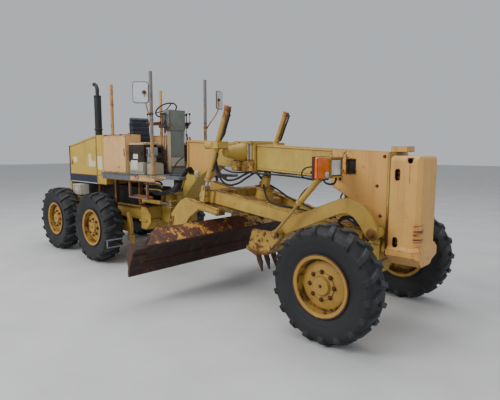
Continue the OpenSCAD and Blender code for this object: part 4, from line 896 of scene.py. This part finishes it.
barrel_pair("lift_hose_%s", [(-0.535, 0.036, 0.006), (-0.545, 0.06, 0.008), (-0.5, 0.068, 0.01),
    (-0.35, 0.062, 0.012), (-0.2, 0.062, 0.01), (-0.125, 0.058, 0.008), (-0.105, 0.038, 0.006)], 0.014)
barrel_pair("lift_pipe_%s", [(-0.47, 0.034, -0.024), (-0.475, 0.044, -0.03), (-0.42, 0.047, -0.031),
    (-0.28, 0.047, -0.031), (-0.16, 0.046, -0.03), (-0.14, 0.036, -0.024)], 0.009, *RUSTY_PIPE)
barrel_pair("gland_hose_%s", [(0.11, 0.038, 0.006), (0.105, 0.058, 0.01), (0.16, 0.068, 0.012),
    (0.28, 0.066, 0.014), (0.37, 0.06, 0.01), (0.385, 0.038, 0.006)], 0.012)
hose_pair("saddle_hose_%s", [(-2.391, 0.4, 1.975), (-2.367, 0.4, 1.841), (-2.293, 0.4, 1.713),
    (-2.169, 0.4, 1.624), (-2.02, 0.36, 1.63), (-1.93, 0.25, 1.7), (-1.88, 0.17, 1.745)], 0.016, "front")
hose_pair("yoke_hose_%s", [(-2.4, 0.44, 2.02), (-2.37, 0.445, 1.86), (-2.27, 0.44, 1.67),
    (-2.12, 0.43, 1.555), (-1.97, 0.37, 1.57), (-1.87, 0.27, 1.655), (-1.8, 0.18, 1.725)], 0.015, "front")
hose_pair("beam_hose_%s", [(-2.45, 0.25, 1.818), (-2.297, 0.25, 1.751), (-2.136, 0.25, 1.725),
    (-1.899, 0.25, 1.735), (-1.629, 0.2, 1.72), (-1.35, 0.165, 1.715), (-1.02, 0.17, 1.7),
    (-0.75, 0.175, 1.685)], 0.013, "front")
hose_pair("lamp_cable_%s", [(-0.312, 0.7, 1.85), (-0.439, 0.7, 1.867), (-0.533, 0.7, 1.842),
    (-0.587, 0.68, 1.784), (-0.607, 0.62, 1.738), (-0.544, 0.5, 1.7), (-0.47, 0.28, 1.7)], 0.009, "front")
hose_pair("lamp_loom_%s", [(-0.522, 0.3, 1.683), (-0.413, 0.4, 1.66), (-0.281, 0.45, 1.672),
    (-0.262, 0.45, 1.7), (-0.27, 0.43, 1.742)], 0.013, "front")
hose_pair("scarifier_hose_%s", [(-0.5, 0.535, 1.64), (-0.6, 0.528, 1.6), (-0.678, 0.53, 1.53),
    (-0.734, 0.53, 1.45), (-0.762, 0.53, 1.39), (-0.752, 0.54, 1.345),
    (-0.71, 0.552, 1.36)], 0.011, "scarifier_barrels")
hose_pair("drawbar_hose_%s", [(-1.72, 0.06, 1.55), (-1.62, 0.15, 1.47), (-1.45, 0.24, 1.345),
    (-1.25, 0.22, 1.3), (-1.084, 0.15, 1.272), (-0.893, 0.09, 1.24), (-0.77, 0.07, 1.216),
    (-0.55, 0.045, 1.178)], 0.014, "drawbar")
hose_pair("brake_pipe_%s", [(-0.06, 0.3, 0.755), (-0.062, 0.45, 0.742), (-0.06, 0.6, 0.735),
    (-0.058, 0.685, 0.722)], 0.008, "front", *RUSTY_PIPE)
hose_pair("box_hose_%s", [(-0.3, 0.16, 1.43), (-0.24, 0.21, 1.33), (-0.1, 0.25, 1.22), (0.02, 0.25, 1.1),
    (0.05, 0.2, 0.98)], 0.014, "front")
for k in range(2):
    ahead, out, down = 0.03 * k, 0.03 * k, 0.02 * k
    hose_pair("arm_hose_%%s%d" % (k + 1), [
        (-0.34 + ahead, 0.17, 1.13 - down), (-0.33 + ahead, 0.24 + out, 1.175),
        (-0.21 + 0.02 * k, 0.28 + out, 1.262 - down), (-0.07, 0.28 + out, 1.215 - down),
        (ahead, 0.25, 1.12)], 0.014, "front")
hose_pair("deck_cable_%s", [(-4.4, 0.5, 1.56), (-4.2, 0.53, 1.5), (-4.0, 0.53, 1.53), (-3.82, 0.52, 1.47),
    (-3.8, 0.45, 1.38)], 0.015, "rear")
for k in range(3):
    hose_pair("gear_hose_%%s%d" % (k + 1), [
        (-4.42 - 0.1 * k, 0.27, 1.3), (-4.4 - 0.1 * k, 0.33, 1.22),
        (-4.32 - 0.08 * k, 0.33 + 0.015 * k, 1.1), (-4.24 - 0.05 * k, 0.34, 1.06)], 0.014, "rear")

# %% Pipes under the platform and on the console
for number, z in enumerate((1.528, 1.482, 1.436, 1.39, 1.35)):
    hose("platform_pipe_%d" % (number + 1), [(-4.0, -0.595, z), (-3.8, -0.603, z - 0.004),
         (-3.6, -0.602, z + 0.002), (-3.535, -0.595, z - 0.012), (-3.515, -0.575, z - 0.05)],
         0.0155, "rear", (hose_rubber, pipe_paint)[number % 2])
hose("console_cable", [(-3.93, -0.182, 2.72), (-3.905, -0.2, 2.62), (-3.93, -0.2, 2.53),
    (-3.985, -0.168, 2.44), (-3.965, -0.163, 2.36)], 0.008, "rear")
for number, (x, y, top) in enumerate(((-3.86, 0.265, 2.36), (-3.8, 0.285, 2.3), (-3.9, 0.285, 2.18))):
    hose("console_pipe_%d" % (number + 1), [(x, y, 1.632), (x, y, 1.9), (x, y - 0.004, 2.2),
         (x - 0.01, y - 0.02, top)], 0.017, "rear", orange_rust, "worn_steel")
hose("deck_lever", [(-3.55, -0.375, 1.625), (-3.552, -0.345, 1.68), (-3.555, -0.29, 1.77),
    (-3.558, -0.2, 1.87), (-3.56, -0.09, 1.935)], 0.012, "rear")
print("hoses, pipes and cables done")

# %% [markdown]
# ## Bolts, catches and plates
# Small hard things tell the eye how big a machine is. They go in by lists: where each one stands,
# which way it points, how large it is.

# %% Bolts
def bolts(name, body, *groups, material=rusty_nut):
    """Bolts on both sides. A group is a way to point, a radius, a height and the places."""
    make(name, material, body, "worn_steel",
         *[bolt(place, way, r, h) for way, r, h, places in groups for place in places], sides=BOTH)

bolts("plate_bolts", "front",
      (OUT, 0.015, 0.012, [(x, 0.22, z) for x, z in ((0.23, 1.991), (0.15, 1.65), (0.201, 1.305),
                                                      (-0.338, 1.708))]),
      (BACK, 0.012, 0.01, [(0.285, 0.233, z) for z in (0.9, 0.98)]))
bolts("pocket_bolts", "front", (OUT, 0.022, 0.03, [(0.397, 0.172, z) for z in (1.757, 1.812, 1.01, 1.05)]))
bolts("deck_bolts", "rear",
      (UP, 0.009, 0.007, [(-4.9 + 0.25 * k, 0.635, 1.629) for k in range(6)]),
      (UP, 0.008, 0.008, [(x, y, 1.641) for x in (-3.79, -3.71) for y in (0.57, 0.63)]),
      (OUT, 0.009, 0.008, [(x, 0.806, z) for x in (-4.172, -3.642) for z in (1.29, 1.5)]))
bolts("box_bolts", "rear",
      (OUT, 0.007, 0.005, [(x, 0.621, z) for x in (-5.33, -5.1, -4.84, -4.58) for z in (1.66, 2.3)]),
      (OUT, 0.006, 0.004, [(-5.82 + 0.13 * k, 0.504, 1.5505) for k in range(4)]))
bolts("rail_bolts", "rear",
      (OUT, 0.012, 0.01, [(-6.9 + 0.2 * k, 0.44, z) for k in range(13) for z in (0.789, 1.011)]),
      material=yellow)
bolts("step_bolts", "rear", (AHEAD, 0.012, 0.011, [(-4.128, y, 0.78) for y in (0.2, 0.4)]))
bolts("tail_bolts", "rear",
      (BACK, 0.014, 0.012, [(-7.13, y, z) for y in (0.15, 0.3, 0.46) for z in (0.8, 1.32)]))
bolts("flange_bolts", "front",
      (OUT, 0.008, 0.008, [(0.093 * math.cos(a), 0.4, TYRE_R + 0.093 * math.sin(a))
                           for a in [k * math.pi / 5 for k in range(10)]]), material=yellow)
bolts("hitch_bolts", "front", (OUT, 0.016, 0.012, [(-3.48, 0.11, z) for z in (0.86, 0.96, 1.1, 1.2)]))

# %% Catches, hinges and labels
make("blank_labels", label_white, "rear", "cream_paint",
     box((-4.471, -4.25), (0.566, 0.5705), (1.7, 1.878), 0.001, 1),
     box((-4.4, -4.24), (0.5635, 0.568), (1.9, 1.99), 0.001, 1),
     box((-6.62, -6.45), (0.634, 0.6385), (1.18, 1.26), 0.001, 1), sides=BOTH)
make("frame_labels", label_white, "front", "cream_paint",
     box((-3.17, -3.09), (-0.1525, -0.1495), (1.6, 1.72), 0.001, 1))
make_pair("door_latch", hood_paint, "door_{}", "yellow_paint",
          box((-6.99, -6.955), (0.508, 0.53), (1.745, 1.8)))
make("catches", dark_paint, "rear", "dark_paint",
     *[box((x, x + 0.022), (0.56, 0.58), (1.97, 2.03)) for x in (-4.49, -4.13)],
     rod((-4.6, 0.627, 1.95), (-4.6, 0.627, 2.08), 0.008),
     *[rod((-4.6, 0.615, z), (-4.6, 0.632, z), 0.008) for z in (1.95, 2.08)],
     *[rod((x - 0.035, 0.624, 2.34), (x + 0.035, 0.624, 2.34), 0.01) for x in (-5.25, -4.7)], sides=BOTH)
print("bolts, catches and labels done")

# %% [markdown]
# ## The driver's place
# Gauges look at the driver from the sloping back of the console, so they show from behind only. The
# levers stand in a bank on each side of it. Two small boxes fill the gap between the right-hand
# cabinet and the post.

# %% Gauges, switches and pedals
slope = Vector((-0.846, 0, 0.53)).normalized()
dial_rows = ((-4.012, 2.5, 0.04, (-0.11, 0, 0.11)), (-4.034, 2.6, 0.048, (-0.07, 0.07)))
dials = [(Vector((x, y, z)), r) for x, z, r, places in dial_rows for y in places]
make("gauge_rings", dark_paint, "rear", "black_plastic",
     *[rod(dial - slope * 0.02, dial + slope * 0.012, r, 24) for dial, r in dials],
     *[rod((-4.03, y, 2.665), (-4.05, y, 2.675), 0.008, 10) for y in [-0.13 + 0.065 * k for k in range(5)]])
make("gauge_faces", label_white, "rear", "black_plastic",
     *[rod(dial, dial + slope * 0.0135, r - 0.006, 24) for dial, r in dials])
make("boots_and_pedals", hose_rubber, "rear", "black_plastic",
     *[rod((x, 0.232, z), (x, 0.232, z + tall), r, 12, r2) for x in [-4.0 + 0.048 * k for k in range(4)]
       for z, tall, r, r2 in ((2.494, 0.034, 0.02, 0.011), (2.68, 0.032, 0.012, 0.017))],
     box((-4.06, -4.04), (0.08, 0.16), (1.72, 1.8), 0.005),
     rod((-4.045, 0.12, 1.74), (-3.93, 0.12, 1.655), 0.009), sides=BOTH)
make("switch_box", box_grey, "rear", "grey_paint",
     box((-4.125, -3.965), (-0.515, -0.33), (1.955, 2.105), 0.01),
     box((-4.11, -3.98), (-0.5, -0.35), (1.832, 1.958), 0.02, 3))
make("switch_window", brown_rust, "rear", "black_plastic",
     box((-4.095, -4.005), (-0.5185, -0.513), (1.98, 2.08), 0.002, 1))

# %% Lever banks
bank, knobs = [], []
for side, x0, x1, places in ((-1, -4.41, -3.99, (-4.382, -4.32, -4.249)),
                             (1, -3.9, -3.74, (-3.862, -3.778))):
    y = side * 0.245
    bank += [box((x0, x1), (side * 0.222, side * 0.262), (2.54, 2.562), 0.003),
             box((x0 + 0.02, x1 - 0.02), (side * 0.226, side * 0.234), (2.5, 2.545), 0.002),
             *[rod((x, y, 2.556), (x, y, 2.585), 0.013, 12, 0.008) for x in places]]
    for x in places:
        knobs += [rod((x, y, 2.575), (x, y, 2.7), 0.0055, 8), ball((x, y, 2.712), 0.021)]
make("lever_banks", brown_rust, "rear", "worn_steel", *bank)
make("lever_knobs", hose_rubber, "rear", "black_plastic", *knobs)
print("driver's place done")

# %% [markdown]
# ## The beam's sides
# The beam is a closed box: a smooth sheet covers its ribs between an upper and a lower flange. The
# beam falls towards the front, so each sheet is a box whose corners are moved onto two slanted lines.
# A weld is a low ridge: a thin tube along its seam, in the paint of the plates, is enough at this size.

# %% Beam sheets and weld seams
def sheet(x0, x1, y, drop0, drop1):
    """A sheet along the beam from x0 to x1, between two depths under the beam's falling top."""
    def lay(bm, side):
        y0, y1 = sorted((side * y[0], side * y[1]))
        for v in bmesh.ops.create_cube(bm, size=1)["verts"]:
            x = x1 if v.co.x > 0 else x0
            beam_top = 2.147 - 0.054 * (x + 1.8)
            v.co = at(x, y1 if v.co.y > 0 else y0, beam_top - (drop0 if v.co.z > 0 else drop1))
    return lay

web, flange = (0.15, 0.1646), (0.16, 0.1715)
make_pair("beam_side", plates, "front", "yellow_paint",
          sheet(-1.762, -0.462, web, 0.03, 0.34), sheet(-2.7, -2.202, web, 0.03, 0.34),
          sheet(-1.762, -0.462, flange, 0.001, 0.03), sheet(-1.762, -0.462, flange, 0.34, 0.369))
for name, x, y, heights, body, paint in (("weld_box_%s", 0.281, 0.2205, (0.9, 1.4, 2.02), "front", plates),
                                         ("weld_leg_%s", -4.149, 0.464, (0.66, 0.84, 1.02), "rear", yellow)):
    hose_pair(name, [(x, y, z) for z in heights], 0.0055, body, paint, "yellow_paint", steps=2)
print("beam and welds done")

# %% [markdown]
# ## The studio
# A wide pale floor and large soft lights stand for an overcast day: the light comes from everywhere,
# and a broad key from high on the camera's side gives the forms a soft side.

# %% Floor and lights
def studio():
    bm = bmesh.new()
    bmesh.ops.create_grid(bm, x_segments=1, y_segments=1, size=60)
    floor = new_object("floor", as_mesh("floor", bm, False))
    material, here = new_material("pale_floor")
    plug(material, Base_Color=here.noise(1.2, 6).ramp(0.3, 0.7).blend("C9C9C8", "BDBDBC"), Roughness=0.75)
    floor.data.materials.append(material)

def soft_light(name, place, target, size, power):
    data = bpy.data.lights.new(name, "AREA")
    data.size, data.energy = size, power
    lamp = new_object(name, data)
    lamp.location = place
    lamp.rotation_euler = (Vector(target) - Vector(place)).to_track_quat("-Z", "Y").to_euler()

studio()
soft_light("key", (-3, -12, 10), (0, 0, 1), 7, 1500)
soft_light("fill", (11, -7, 6), (0, 0, 1), 9, 260)
soft_light("top", (0, 2, 13), (0, 0, 0), 12, 900)
world = bpy.data.worlds.new("overcast")
world.use_nodes = True
world.node_tree.nodes["Background"].inputs["Color"].default_value = (0.86, 0.9, 0.95, 1)
world.node_tree.nodes["Background"].inputs["Strength"].default_value = 0.6
bpy.context.scene.world = world
